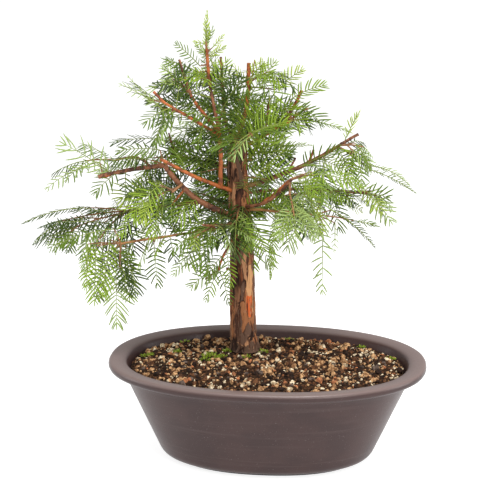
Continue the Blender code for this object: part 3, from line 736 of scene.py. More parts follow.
def seen_at(spot):
    """Where a place in millimetres falls in the picture, in pixels, and how far away it is."""
    ray = spot * MM - camera.location
    depth = -ray.dot(back)
    return (MIDDLE + SCREEN * ray.dot(to_right) / depth,
            MIDDLE - SCREEN * ray.dot(to_top) / depth, depth / MM)


def line_of_sight(pixel):
    x, y = pixel
    return to_right * (x - MIDDLE) / SCREEN + to_top * (MIDDLE - y) / SCREEN - back


def behind_trunk(spot):
    return (spot - TRUNK_ROOT).dot(to_back)


def place_shown(pixel, depth):
    """The place seen in a pixel at this depth behind the trunk's foot."""
    sight, eye = line_of_sight(pixel), camera.location / MM
    return eye + sight * (depth - behind_trunk(eye)) / sight.dot(to_back)


def place_on_level(pixel, height):
    """The place seen in a pixel at this height."""
    sight, eye = line_of_sight(pixel), camera.location / MM
    return eye + sight * (height - eye.z) / sight.z


def direction_to(start, end):
    """Heading and climb in degrees, and the distance."""
    reach = end - start
    return (math.degrees(math.atan2(reach.y, reach.x)),
            math.degrees(math.asin(reach.z / reach.length)), reach.length)


def nearest_place(pixel, bough=None):
    """The place on a bough, or on any, that the picture shows nearest to a pixel."""
    best, gap = None, math.inf
    for path in [limb_paths[bough]] if bough else limb_paths.values():
        for at in range(0, int(path_length(path)) + 1, LOOK_PITCH):
            spot = along_path(path, at)[0]
            x, y, _ = seen_at(spot)
            if math.hypot(x - pixel[0], y - pixel[1]) < gap:
                best, gap = spot, math.hypot(x - pixel[0], y - pixel[1])
    return best, gap


print("trunk's foot seen at", [round(value) for value in seen_at(TRUNK_ROOT)[:2]])

# %% [markdown]
# ## The trunk
#
# Dawn redwood bark peels in long upright strips over a red inner layer. The trunk is lofted
# ring by ring up its own line, subdivided until a face is about a millimetre across, and then
# every point is moved along its normal. The relief is a pattern of tall cells, where each
# cell is one plate of bark with its own lift, and fine upright fibres on top. The height of
# the relief and the plate's own number are kept on the points for the material.

# %% Loft the trunk
TRUNK_SIDES = 44
RING_PITCH = 4.0
SEAM = 0.3                     # gap between the trunk and the soil it stands on
trunk_points = [Vector((TRUNK_ROOT[0] + shift, TRUNK_ROOT[1], SOIL_TOP + SEAM + height))
                for height, shift, radius in TRUNK_LINE]


def trunk_at(height):
    """Shift in X and radius at a height above the soil, read from the trunk's line."""
    rows = np.array(TRUNK_LINE, float)
    return (np.interp(height, rows[:, 0], rows[:, 1]), np.interp(height, rows[:, 0], rows[:, 2]))


def loft_trunk():
    let_go()
    bpy.ops.mesh.primitive_circle_add(vertices=TRUNK_SIDES, radius=1.0, fill_type="NGON")
    obj = bpy.context.object
    bpy.ops.object.mode_set(mode="EDIT")
    bpy.ops.mesh.select_all(action="SELECT")
    shift, radius = trunk_at(0)
    place = Vector((TRUNK_ROOT[0] + shift, TRUNK_ROOT[1], SOIL_TOP + SEAM)) * MM
    bpy.ops.transform.resize(value=(radius * MM, radius * MM, 1), center_override=(0, 0, 0))
    bpy.ops.transform.translate(value=place)
    top = TRUNK_LINE[-1][0]
    heights = [0, 1.5, 3] + list(np.arange(6, top, RING_PITCH)) + [top]
    for low, high in zip(heights, heights[1:]):
        next_shift, next_radius = trunk_at(high)
        step = Vector((next_shift - shift, 0, high - low)) * MM
        place += step
        bpy.ops.mesh.extrude_region_move(TRANSFORM_OT_translate={"value": step})
        bpy.ops.transform.resize(value=(next_radius / radius, next_radius / radius, 1),
                                 center_override=place)
        shift, radius = next_shift, next_radius
    bpy.ops.mesh.inset(thickness=0.35 * radius * MM)
    bpy.ops.mesh.select_all(action="SELECT")
    bpy.ops.mesh.normals_make_consistent(inside=False)
    bpy.ops.object.mode_set(mode="OBJECT")
    smooth = obj.modifiers.new("smooth", "SUBSURF")
    smooth.levels = smooth.render_levels = 2
    return finish_piece(obj, "trunk_bark")


# %% Relief on a surface
def relief(obj, height_at):
    """Move every point along its normal by a height in millimetres, and keep two values on it."""
    count = len(obj.data.vertices)
    spots, normals = np.zeros(count * 3), np.zeros(count * 3)
    obj.data.vertices.foreach_get("co", spots)
    obj.data.vertices.foreach_get("normal", normals)
    spots, normals = spots.reshape(-1, 3), normals.reshape(-1, 3)
    heights, marks = np.zeros(count), np.zeros(count)
    for index, spot in enumerate(spots):
        heights[index], marks[index] = height_at(Vector(spot) / MM)
    obj.data.vertices.foreach_set("co", (spots + normals * heights[:, None] * MM).ravel())
    for label, values in (("relief", heights), ("plate", marks)):
        kept = obj.data.attributes.new(label, "FLOAT", "POINT")
        kept.data.foreach_set("value", values.astype(np.float32))
    obj.data.update()


# %% [markdown]
# On the trunk's right front a strip has been pulled off. It shows smooth tan under-bark with a
# red lower end. Its edge wanders, so a little noise is added to the angle before it is tested.

# %% The peeled strip
PEELED = (314.0, 34.0, 84.0, 19.0, 56.0)     # heading, from, to, half width in degrees, red up to
PEELED_TAN, PEELED_RED = 0.9, 0.98           # places on the bark's ramp of tones
PEEL_WANDER, PEEL_LEAN = 9, 8                # degrees


def peeled(spot):
    """0 on the bark, else the tone of the peeled strip's tan or of its red lower end."""
    heading, low, high, half, red = PEELED
    height = spot.z - SOIL_TOP
    shift, _ = trunk_at(height)
    turn = math.degrees(math.atan2(spot.y - TRUNK_ROOT[1], spot.x - TRUNK_ROOT[0] - shift))
    off = (turn - heading + 180) % 360 - 180
    off += PEEL_WANDER * noise.noise(Vector((3, 7, spot.z / 6.0)))
    off -= PEEL_LEAN * (height - low) / (high - low) - PEEL_LEAN / 2
    end = min(height - low, high - height) / 10.0
    if end < 0 or abs(off) > half * min(1.0, 0.35 + end):
        return 0.0
    at_red = height < red + 8 * noise.noise(spot / 5.0) and off < 13
    return PEELED_RED if at_red else PEELED_TAN


# %% Old bark
PLATE_WIDTH, PLATE_HEIGHT = 5.6, 30.0
FLARE_HEIGHT = 16.0


def bark_height(spot):
    """The relief of old bark at a place: plates, cracks between them, and fibres."""
    wander = noise.noise(Vector((spot.x, spot.y, spot.z * 0.5)) / 7.0) * 0.7
    wander += noise.noise(spot / 2.4) * 0.16
    cell = Vector((spot.x / PLATE_WIDTH + wander, spot.y / PLATE_WIDTH + wander,
                   spot.z / PLATE_HEIGHT))
    distances, middles = noise.voronoi(cell)
    mark = noise.cell(middles[0] * 7.3) % 1.0
    torn = max(0.0, min(1.0, 0.55 + 2.4 * noise.noise(spot / 11.0)))
    crack = 1 - torn * (1 - min(1.0, (distances[1] - distances[0]) / 0.15))
    fibre = noise.fractal(Vector((spot.x / 1.7, spot.y / 1.7, spot.z / 12.0)), 0.9, 2.2, 3)
    lump = noise.noise(spot / 24.0)
    flare = max(0.0, 1.0 - (spot.z - SOIL_TOP) / FLARE_HEIGHT)
    height = 1.1 * (mark - 0.45) * crack - 0.8 * (1 - crack) + 0.3 * fibre + 0.5 * lump
    height += 0.9 * flare * noise.noise(spot / 5.0)
    strip = peeled(spot)
    if strip:
        return -0.45 + 0.1 * fibre, strip
    foot = 0.78 if flare > 0.35 + 0.3 * noise.noise(spot / 6.0) else 0.0
    return height * (1 - 0.3 * flare) - 0.25, max(0.8 * mark, foot)


trunk = loft_trunk()
relief(trunk, bark_height)
take(trunk)
bpy.ops.object.shade_smooth_by_angle(angle=math.radians(60))
print("trunk triangles", triangles(trunk))

# %% [markdown]
# The bark's colour follows its relief: each plate takes one of a few tones by its number, from
# grey brown to red brown, the cracks are dark and painted almost black as the shade deep in
# them, and the thin places where a plate has come away show the orange inner bark. Fine upright
# streaks run over everything.

# %% Bark of the trunk
def tone_ramp(tree, source, stops, step="LINEAR"):
    """A colour ramp from a list of place and tone."""
    ramp_node = node(tree, "ValToRGB", [("Fac", source)])
    ramp_node.color_ramp.interpolation = step
    for place, tone in stops[2:]:
        ramp_node.color_ramp.elements.new(place)
    for element, (place, tone) in zip(ramp_node.color_ramp.elements, stops):
        element.position = place
        element.color = rgb(*tone)
    return ramp_node.outputs["Color"]


def make_trunk_bark():
    material, tree, shader = new_material("trunk_bark", roughness=0.82, specular=0.2)
    plate = node(tree, "Attribute", attribute_name="plate").outputs["Fac"]
    height = node(tree, "Attribute", attribute_name="relief").outputs["Fac"]
    plates = tone_ramp(tree, plate, [
        (0.0, (0.150, 0.050, 0.024)), (0.12, (0.260, 0.115, 0.058)), (0.26, (0.085, 0.036, 0.022)),
        (0.36, (0.330, 0.130, 0.052)), (0.50, (0.200, 0.062, 0.024)), (0.60, (0.130, 0.070, 0.045)),
        (0.68, (0.400, 0.195, 0.095)), (0.75, (0.100, 0.055, 0.034)), (0.82, (0.040, 0.015, 0.007)),
        (0.86, (0.560, 0.290, 0.130)), (0.95, (0.600, 0.120, 0.028))], "CONSTANT")
    streaked = use_group(tree, CLOUDS, Tone=plates, Second_Tone=rgb(0.060, 0.022, 0.011),
                         Scale=420.0, Stretch=(1.0, 1.0, 0.13), From=0.50, To=0.64)
    flecked = use_group(tree, CLOUDS, Tone=streaked.outputs["Color"],
                        Second_Tone=rgb(0.42, 0.22, 0.12), Scale=520.0, Stretch=(1.0, 1.0, 0.3),
                        From=0.62, To=0.72)
    # The deepest cracks are painted almost black: painted shade in the recesses, over the bark's
    # own dark.
    deep = ramp(tree, height, -0.40, -0.85)
    with_crack_shade = laid_over(tree, deep, flecked.outputs["Color"], rgb(0.022, 0.009, 0.005))
    tree.links.new(with_crack_shade, shader.inputs["Base Color"])
    add_grain(tree, shader, 900.0, (1.0, 1.0, 0.18), 0.78, 0.15, 0.35)
    return material


trunk.data.materials.append(make_trunk_bark())
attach(trunk, "root")
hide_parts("trunk")

# %% [markdown]
# ## The boughs
#
# A bough is a long tapered thing, so it is drawn as a curve with a round section whose radius
# changes from point to point: a little thicker at every bud, a little uneven between. Each
# wanders slightly off its arc. The curves become meshes by kind of bark. Old boughs are grey
# brown, young ones orange red, and the thinnest shoots yellow.

# %% Curves with a round section
BOUGH_ROUNDNESS = 5


def new_curve(name, resolution=BOUGH_ROUNDNESS):
    data = bpy.data.curves.new(name, "CURVE")
    data.dimensions = "3D"
    data.bevel_depth = MM
    data.bevel_resolution = resolution
    data.use_fill_caps = True
    obj = bpy.data.objects.new(name, data)
    bpy.context.scene.collection.objects.link(obj)
    return obj


def draw_line(curve, points, radii):
    """One line with a round section: points and radii in millimetres."""
    line = curve.data.splines.new("POLY")
    line.points.add(len(points) - 1)
    line.points.foreach_set("co", [value for point in points for value in (*(point * MM), 1.0)])
    line.points.foreach_set("radius", radii)


def as_mesh(curve, name):
    take(curve)
    bpy.ops.object.convert(target="MESH")
    obj = bpy.context.object
    bpy.ops.object.mode_set(mode="EDIT")
    bpy.ops.mesh.select_all(action="SELECT")
    bpy.ops.mesh.normals_make_consistent(inside=False)
    bpy.ops.object.mode_set(mode="OBJECT")
    return finish_piece(obj, name)


# %% One bough
BUD_PITCH, BUD_HALF, BUD_SWELL = 9.0, 1.4, 0.16
POINT_PITCH = 1.6
SWAY = 0.7


def bough_line(points, root, tip, seed):
    """The same path, finer, a little uneven, and thicker at its buds."""
    draw = random.Random(seed)
    length = path_length(points)
    count = max(4, round(length / POINT_PITCH))
    fine, radii = [], []
    for step in range(count + 1):
        share = step / count
        spot, _ = along_path(points, length * share)
        radius = root + (tip - root) * share ** 0.8
        sway = noise.noise_vector(spot / 17.0 + Vector((seed, 0, 0))) * min(share * 6, 1.0) * SWAY
        from_bud = abs((length * share) % BUD_PITCH - BUD_PITCH / 2)
        bud = max(0.0, 1 - from_bud / BUD_HALF)
        fine.append(spot + sway * (1 - share ** 6))
        radii.append(radius * (1 + BUD_SWELL * bud + draw.uniform(-0.05, 0.05)))
    return fine, radii


# %% [markdown]
# The tree has been cut back, and short bare sticks stand where shoots were taken off. Each
# has a row with its bough, the pixels of its root and its end, its radii and its bark, and stands
# as deep in the crown as the bough that bears it.

# %% Draw the boughs and the cut sticks
STUBS = [                      # bough, pixels of the stick's root and end, radii, bark
    ("right_leader", (246, 86), (248, 63), 1.9, 1.7, "red"),
    ("right_leader", (246, 96), (256, 60), 0.7, 0.45, "yellow"),
    ("middle_leader", (222, 108), (219, 57), 1.5, 1.2, "old"),
    ("upper_left", (192, 96), (178, 60), 1.4, 1.1, "old"),
    ("top_leader", (210, 80), (206, 49), 1.6, 1.3, "red"),
    ("upper_side", (160, 99), (153, 92), 1.3, 1.1, "red"),
    ("right_upper", (281, 121), (303, 91), 1.7, 1.4, "red"),
    ("right_upper", (262, 132), (271, 97), 0.9, 0.7, "old"),
    ("right_main", (310, 163), (314, 150), 1.2, 1.0, "red"),
    ("right_main", (289, 176), (296, 158), 1.1, 0.9, "old"),
    ("right_main", (343, 148), (359, 135), 1.5, 1.3, "old"),
    ("front_right", (262, 205), (292, 180), 1.2, 0.9, "red"),
    ("left_outer", (112, 174), (100, 177), 1.6, 1.4, "red"),
    ("left_high", (168, 163), (160, 159), 1.4, 1.3, "red"),
    ("left_main", (184, 190), (171, 206), 1.1, 0.9, "red"),
    ("left_back", (176, 156), (168, 133), 1.0, 0.8, "old"),
    ("trunk", (243, 272), (226, 269), 1.7, 1.2, "old"),
    ("right_low", (352, 193), (372, 192), 1.2, 1.0, "old"),
]
LIMB_STEPS, STUB_STEPS = 12, 4
limb_paths = {"trunk": trunk_points}
bough_curves = {bark: new_curve("boughs_" + bark) for bark in ("old", "red", "yellow", "young")}
for seed, row in enumerate(LIMBS, 1):
    name, parent, at, heading, climb, length, turn, lift, root, tip, bark = row
    start, _ = along_path(limb_paths[parent], at)
    limb_paths[name] = arc_path(start, heading, climb, length, turn, lift, LIMB_STEPS)
    fine, radii = bough_line(limb_paths[name], root, tip, seed)
    draw_line(bough_curves[bark], fine, radii)
for seed, (limb, foot, end, root, tip, bark) in enumerate(STUBS, 61):
    start, _ = nearest_place(foot, limb)
    heading, climb, length = direction_to(start, place_shown(end, behind_trunk(start)))
    fine, radii = bough_line(arc_path(start, heading, climb, length, 0, 4, STUB_STEPS),
                             root, tip, seed)
    draw_line(bough_curves[bark], fine, radii)
print("boughs", len(LIMBS), "stubs", len(STUBS))

# %% [markdown]
# ## Foliage
#
# The leaves of a dawn redwood are soft flat needles, in opposite pairs along a thin green
# shoot, so that each shoot looks like a feather. The feathers stand in two ranks along the
# twigs, also in pairs. One needle is lofted from given stations, and all the others are placed with
# arrays: a needle is a root point, a direction, a face, a length and a bend.

# %% One needle
NEEDLE_STATIONS = [(0.0, 0.30), (0.12, 0.80), (0.42, 1.0), (0.80, 0.82)]   # along, share of width
NEEDLE_WIDTH = 1.4
NEEDLE_THICKNESS = 0.34


def needle_shape():
    """Points as share along, share across and share out of the face, and triangles."""
    points = []
    for along, width in NEEDLE_STATIONS:
        points += [(along, width / 2, 0.0), (along, 0.0, 0.55), (along, -width / 2, 0.0),
                   (along, 0.0, -0.45)]
    points.append((1.0, 0.0, 0.0))
    faces = [(0, 1, 2), (0, 2, 3)]
    for band in range(len(NEEDLE_STATIONS) - 1):
        for side in range(4):
            low, low_next = 4 * band + side, 4 * band + (side + 1) % 4
            faces += [(low, low + 4, low_next), (low_next, low + 4, low_next + 4)]
    last = 4 * (len(NEEDLE_STATIONS) - 1)
    faces += [(last + side, len(points) - 1, last + (side + 1) % 4) for side in range(4)]
    return np.array(points), np.array(faces)


NEEDLE_POINTS, NEEDLE_FACES = needle_shape()


def place_needles(rows):
    """Every needle at once. A row is root, direction, across, out of the face, length, bend
    across and bend out, in millimetres."""
    root, ahead, across, out = (np.array([row[key] for row in rows]) for key in range(4))
    length, bend_across, bend_out = (np.array([row[key] for row in rows]) for key in range(4, 7))
    along, wide, thick = NEEDLE_POINTS.T
    width = np.minimum(NEEDLE_WIDTH, 0.12 * length + 0.2)
    spread = width[:, None] * wide[None] + (bend_across * length)[:, None] * along[None] ** 2
    rise = NEEDLE_THICKNESS * thick[None] + (bend_out * length)[:, None] * along[None] ** 2
    points = (root[:, None] + ahead[:, None] * (length[:, None] * along[None])[..., None]
              + across[:, None] * spread[..., None] + out[:, None] * rise[..., None])
    shift = np.arange(len(rows))[:, None, None] * len(NEEDLE_POINTS)
    return points.reshape(-1, 3) * MM, (NEEDLE_FACES[None] + shift).reshape(-1, 3)


print("needle triangles", len(NEEDLE_FACES))

# %% [markdown]
# This tree has been clipped to an outline: a narrow spire, shoulders, a bay of sky under each
# upper tier. No feather at any depth may cross it, since the sky is open there. So the outline
# is drawn over the picture, with a corner at each leaf tip and each bay, and every feather
# is shortened until it lies inside. The gaps where sky shows are ovals. A few boughs stand clear
# in front of the leaves, and most feathers of the masses that would cover them are left out.

# %% The clipped outline
OUTLINE = [                    # corners in pixels, clockwise
    # spire and right shoulder
    (205, 11), (210, 15), (212, 28), (224, 36), (223, 47), (219, 56), (232, 51), (240, 53),
    (252, 59), (262, 62), (285, 65), (301, 67), (324, 81), (308, 84), (323, 90), (308, 93),
    (302, 100), (308, 107), (313, 120), (312, 131), (292, 130), (281, 129), (284, 136),
    (270, 141),
    # right tier and the shoots that trail from it
    (283, 147), (310, 145), (314, 152), (328, 142), (337, 152), (350, 138), (360, 130),
    (368, 139), (371, 150), (373, 165), (388, 165), (401, 170), (411, 184), (396, 175),
    (378, 170), (390, 179), (404, 188), (415, 192), (402, 191), (388, 184), (373, 177),
    (371, 190), (390, 197), (400, 215), (388, 220), (378, 209), (358, 208), (352, 219),
    (367, 224), (375, 244), (362, 237), (353, 225), (337, 227), (335, 250), (323, 250),
    (318, 240), (305, 243), (297, 241), (290, 248), (281, 241),
    # strand beside the trunk, the trunk's front, and the tuft at its left
    (282, 257), (273, 281), (263, 275), (252, 270), (234, 295), (227, 318), (219, 305),
    (207, 296), (214, 288), (203, 283), (189, 288), (186, 276), (173, 272), (180, 261),
    # left underside with its hanging feathers
    (169, 257), (164, 264), (164, 278), (158, 284), (151, 287), (146, 280), (140, 275),
    (141, 262), (134, 272), (136, 297), (129, 302), (127, 318), (106, 319), (100, 307),
    (88, 297), (80, 277), (78, 251),
    # low left tier
    (50, 250), (52, 243), (33, 242), (40, 235), (50, 228), (27, 226), (23, 221), (31, 217),
    (63, 215), (75, 206), (104, 205), (115, 200), (128, 192), (109, 190), (103, 184),
    # fern tier
    (88, 184), (79, 178), (60, 180), (48, 186), (47, 178), (54, 167), (72, 154), (65, 145),
    (87, 138), (105, 132), (109, 137), (157, 137), (150, 123), (153, 108),
    # left shoulder
    (143, 95), (121, 88), (124, 78), (143, 80), (148, 87), (157, 81), (152, 76), (162, 63),
    (170, 60), (180, 53), (177, 44), (191, 52), (196, 42), (204, 28),
]
GAPS = [                       # ovals of sky between the leaves: middle, half width, half height
    # left shoulder and fern tier
    (181, 135, 9, 4), (199, 129, 7, 3), (187, 151, 8, 3), (155, 118, 4, 9), (186, 64, 4, 3),
    (171, 66, 5, 4), (200, 56, 4, 5), (162, 76, 6, 5), (74, 157, 6, 4), (126, 151, 7, 7),
    (94, 178, 5, 4), (210, 184, 4, 5),
    # middle and right shoulder
    (225, 63, 4, 4), (235, 76, 5, 4), (231, 102, 5, 9), (268, 114, 4, 4), (272, 78, 5, 2),
    (258, 150, 5, 7),
    # left underside
    (135, 212, 4, 5), (163, 232, 4, 4), (164, 250, 7, 10), (190, 255, 7, 8), (198, 268, 8, 4),
    # right tier
    (268, 230, 9, 17), (298, 153, 9, 5), (347, 206, 9, 5), (326, 238, 6, 9), (354, 178, 5, 4),
]


def in_crown(spot):
    """Is this place inside the crown as the picture shows it?"""
    x, y, _ = seen_at(spot)
    if any(math.hypot((x - middle) / half, (y - level) / tall) < 1
           for middle, level, half, tall in GAPS):
        return False
    within = False
    for (x1, y1), (x2, y2) in zip(OUTLINE, OUTLINE[1:] + OUTLINE[:1]):
        if (y1 > y) != (y2 > y) and x < x1 + (x2 - x1) * (y - y1) / (y2 - y1):
            within = not within
    return within


IN_VIEW = {                    # boughs the picture shows in front of the leaves: from, to
    "left_main": (8, 84), "left_outer": (10, 59), "left_high": (6, 82), "left_leader": (0, 46),
    "upper_left": (12, 43), "upper_side": (22, 61), "right_leader": (4, 49), "right_upper": (8, 30),
    "right_main": (26, 92), "front_right": (8, 62), "trunk": (150, 176), "top_leader": (4, 60),
}
open_places = np.array([seen_at(along_path(limb_paths[name], at)[0])
                        for name, (first, last) in IN_VIEW.items() for at in range(first, last, 3)])


VIEW_MARGIN = 5.5              # pixels
HIDDEN_PART = 0.85             # share of the feathers in front of such a bough that are left out


def covers_bough(spots):
    """Would leaves at these places hide one of the boughs that stay in view?"""
    for x, y, depth in map(seen_at, spots):
        near = (np.hypot(open_places[:, 0] - x, open_places[:, 1] - y) < VIEW_MARGIN) & (
            open_places[:, 2] > depth + 1)
        if near.any():
            return True
    return False


print("outline corners", len(OUTLINE), "places kept in view", len(open_places))

# %% [markdown]
# A feather is a thin shoot with its needles. They stand almost square to it at its foot and
# lean forward towards its tip, the longest just past the middle. Both ranks fold down a
# little from the shoot, and no two needles are quite the same length or angle. A young
# feather is narrow, its needles short and close to the shoot. A sparse one grew in shade, and
# the loose ones of the top lean every way.

# %% One feather
FOLD = 14.0
SHOOT_RADIUS, SHOOT_THINNING = 0.50, 0.28
KINDS = {                      # pitch, lean at foot, middle and tip, its unevenness, share missing
    "full": (3.5, 74.0, 60.0, 36.0, 10.0, 0.03),
    "young": (2.7, 48.0, 42.0, 22.0, 10.0, 0.05),
    "sparse": (5.0, 72.0, 60.0, 40.0, 14.0, 0.22),
    "loose": (4.2, 64.0, 52.0, 30.0, 18.0, 0.10),
}
TINT_NAMES = ["dark", "mid", "fresh", "lime", "pale"]
LOOSE = {                      # masses and boughs of the top, with loose feathers
    "upper_left", "upper_side", "middle", "right_leader", "right_upper", "front_high",
    "back_upper_left", "back_upper_right", "middle_leader", "left_leader", "top_leader",
}
SHORTEST = 11.0
CLIP_LENGTH, CLIP_WIDTH = 0.85, 0.9    # shares that one clip leaves
LOOSE_WIDTH = 1.2              # how much wider a loose feather is
KEPT = {                       # masses with thinner leaves: share of the feathers
    "left_fern": 0.45, "left_back": 0.8, "front_low": 0.8, "left_hanging": 0.3, "front_high": 0.6,
    "right_thin": 0.8,
}


class Foliage:
    """Collects the needles and shoots of one mass colour, with a tint for each feather."""

    def __init__(self):
        self.needles, self.tints, self.shoots, self.twigs = [], [], [], []

    def feather(self, draw, start, arrows, length, width, droop, tint, kind="full", clipped=True):
        pitch, foot, middle, last, uneven, missing = KINDS[kind]
        while True:
            steps = max(4, round(length / pitch))
            points, frames = grow(start, arrows, length, droop, steps)
            wide = 2 * steps // 3
            sides = [points[wide] + frames[wide].col[1] * side * 0.4 * width for side in (-1, 1)]
            if not clipped or all(map(in_crown, [points[-1], *sides])):
                break
            length, width = CLIP_LENGTH * length, CLIP_WIDTH * width
            if length < SHORTEST:
                return
        if clipped and draw.random() < HIDDEN_PART and covers_bough(
                [points[-1], points[steps // 2], *sides, points[steps // 4]]):
            return
        self.shoots.append((points, [SHOOT_RADIUS - SHOOT_THINNING * step / steps
                                     for step in range(steps + 1)]))
        fold, curl = FOLD + draw.uniform(-10, 16), draw.uniform(0.02, 0.17)
        for step in range(1, steps + 1):
            share = step / steps
            lean = np.interp(share, (0, 0.5, 1), (foot, middle, last))
            half = width / 2 * math.sin(math.pi * (0.20 + 0.66 * share ** 1.1))
            for side in (-1, 1):
                if draw.random() < missing:
                    continue
                angle = math.radians(lean + draw.uniform(-uneven, uneven))
                down = rolled(frames[step], side * -(fold + draw.uniform(-6, 6)))
                ahead = (frames[step].col[0] * math.cos(angle)
                         + down.col[1] * side * math.sin(angle)).normalized()
                out = down.col[2]
                reach = half / math.sin(math.radians(max(lean, 42))) * draw.uniform(0.84, 1.06)
                root = points[step] - frames[step].col[0] * draw.uniform(0, 0.9)
                self.needles.append((root, ahead, out.cross(ahead).normalized(), out, reach,
                                     -side * curl * draw.uniform(0.5, 1.5),
                                     draw.uniform(-0.24, 0.04)))
                self.tints.append(tint)
        tip = frames[-1]
        self.needles.append((points[-1], tip.col[0], tip.col[1], tip.col[2],
                             0.36 * width / 2 + 1.5, draw.uniform(-0.1, 0.1), 0.0))
        self.tints.append(tint)

    def twig(self, points, root, tip):
        while len(points) > 1 and not in_crown(points[-1]):
            points = points[:-1]
        last = len(points) - 1
        if last < 1:
            return
        self.twigs.append((points, [root + (tip - root) * step / last for step in range(last + 1)]))


# %% [markdown]
# A mass grows by the same rule as its solid: a bowing stem with shoots on both sides, each
# shoot a smaller copy. The solid stopped at whole sprays. Here the rule goes one step finer:
# every shoot has a partner across the stem, and every twig carries feathers in pairs.

# %% The rule of growth
TRUNK_REACH = 14.0
SPRAY_SHARE, FORK_TAPER = 0.85, 0.74
TWIG_STEPS = 3
LEAST_TWIG = 9.0
TINT_SHARES = {                # for each mass colour: share of dark, mid, fresh, lime, pale
    "dark": (0.46, 0.28, 0.14, 0.03, 0.09),
    "mid": (0.26, 0.34, 0.22, 0.05, 0.13),
    "new": (0.08, 0.28, 0.38, 0.18, 0.08),
    "pale": (0.06, 0.16, 0.22, 0.12, 0.44),
}


class Mass:
    """One mass of foliage, grown from its row."""

    def __init__(self, row, seed, foliage):
        (self.name, limb, at, heading, climb, roll, self.angle, self.reach, self.droop,
         self.shoots, self.spray, self.width, self.colour) = row
        self.draw, self.foliage = random.Random(seed), foliage
        arrows = rolled(aimed(heading, climb), roll)
        path = limb_paths[limb]
        if at is None:
            solid_length = SOLID_LENGTHS.get(limb)
            start, root = (along_path(path, solid_length)[0] if solid_length else path[-1]), 0.0
        else:
            start, root = along_path(path, at)[0], TRUNK_REACH
        bare = self.reach - SPRAY_SHARE * self.spray
        droop = self.droop * bare / self.reach
        points, frames = grow(start, arrows, root + bare, droop, TWIG_STEPS)
        foliage.twig(points, 1.0, 0.55)
        self.leaf(points[-1], frames[-1], self.spray, self.droop - droop)
        self.along(points, frames, root + 3.0, bare - 3.0, self.reach, self.shoots, True)

    def leaf(self, start, arrows, length, droop):
        if self.draw.random() > KEPT.get(self.name, 1.0):
            return
        tint = self.draw.choices(range(5), TINT_SHARES[self.colour])[0]
        young = length < 34 and self.draw.random() < 0.15
        width = min(self.width, 0.8 * length) * self.draw.uniform(0.8, 1.05)
        kind = "young" if young else "loose" if self.name in LOOSE else "full"
        if kind == "loose":
            width *= LOOSE_WIDTH
        self.foliage.feather(self.draw, start, rolled(arrows, self.draw.gauss(0, 28)),
                             length * self.draw.uniform(0.85, 1.1), width * (0.4 if young else 1),
                             droop, tint, kind)

    def along(self, points, frames, start, length, reach, shoots, paired):
        for number in range(shoots):
            share = (number + 0.5) / shoots
            spot = along_path(points, start + length * share)[0]
            side = self.angle * (1 - 0.3 * share) * (1 if number % 2 else -1)
            arrows = rolled(frames[1 + int(share * TWIG_STEPS)], self.draw.uniform(-35, 35))
            arrows = turned(arrows, side + self.draw.uniform(-6, 6))
            fork = max(reach * FORK_TAPER - length * share * 0.6, self.spray * 0.7)
            self.branch(spot, arrows, fork)
            if paired:
                base = rolled(frames[1 + int(share * TWIG_STEPS)], self.draw.uniform(-30, 30))
                self.leaf(spot, turned(base, -side + self.draw.uniform(-8, 8)),
                          min(fork, self.spray) * self.draw.uniform(0.7, 1.0), self.droop * 0.7)

    def branch(self, start, arrows, reach):
        spray = min(reach, self.spray)
        bare = reach - SPRAY_SHARE * spray
        if bare < LEAST_TWIG:
            self.leaf(start, arrows, min(reach, self.spray * 1.15), self.droop * 0.7)
            return
        droop = self.droop * bare / reach
        points, frames = grow(start, arrows, bare, droop, TWIG_STEPS)
        self.foliage.twig(points, 0.75, 0.45)
        self.leaf(points[-1], frames[-1], spray, self.droop - droop)
        self.along(points, frames, 4.0, bare - 4.0, spray, 2, True)


foliage = {colour: Foliage() for colour in TINT_SHARES}
for seed, row in enumerate(MASSES, 1):
    Mass(row, seed, foliage[row[-1]])
print("feathers of the masses", sum(len(leaves.shoots) for leaves in foliage.values()))

# %% [markdown]
# The boughs themselves also bear leafy shoots, in pairs, and these fill the crown between the
# masses. A bough starts to be leafy some way out from its root.

# %% Leafy shoots along the boughs
LEAFY = {                      # bough: where its leaves start, colour, longest feather, pitch
    "left_main": (46, "mid", 36, 10), "left_outer": (6, "dark", 32, 10),
    "left_high": (40, "mid", 36, 9), "left_back": (16, "dark", 38, 7),
    "left_low": (20, "dark", 38, 9), "left_long": (50, "mid", 34, 13),
    "front_left": (22, "mid", 38, 9), "right_main": (40, "mid", 36, 8),
    "front_right": (30, "mid", 34, 10), "right_low": (40, "pale", 34, 9),
    "right_back": (30, "dark", 38, 9), "right_thin": (30, "pale", 34, 10),
    "right_upper": (8, "mid", 38, 5), "right_leader": (6, "new", 36, 5),
    "middle_leader": (6, "dark", 38, 5), "left_leader": (24, "dark", 36, 6),
    "top_leader": (10, "mid", 28, 6), "upper_left": (8, "dark", 34, 6),
    "upper_side": (12, "mid", 34, 7), "front_high": (8, "mid", 40, 5),
    "back_low": (20, "dark", 40, 9), "back_left": (18, "dark", 40, 9),
    "back_upper_left": (10, "dark", 40, 7), "back_upper_right": (10, "mid", 40, 7),
    "trunk": (112, "dark", 48, 3.6),
}


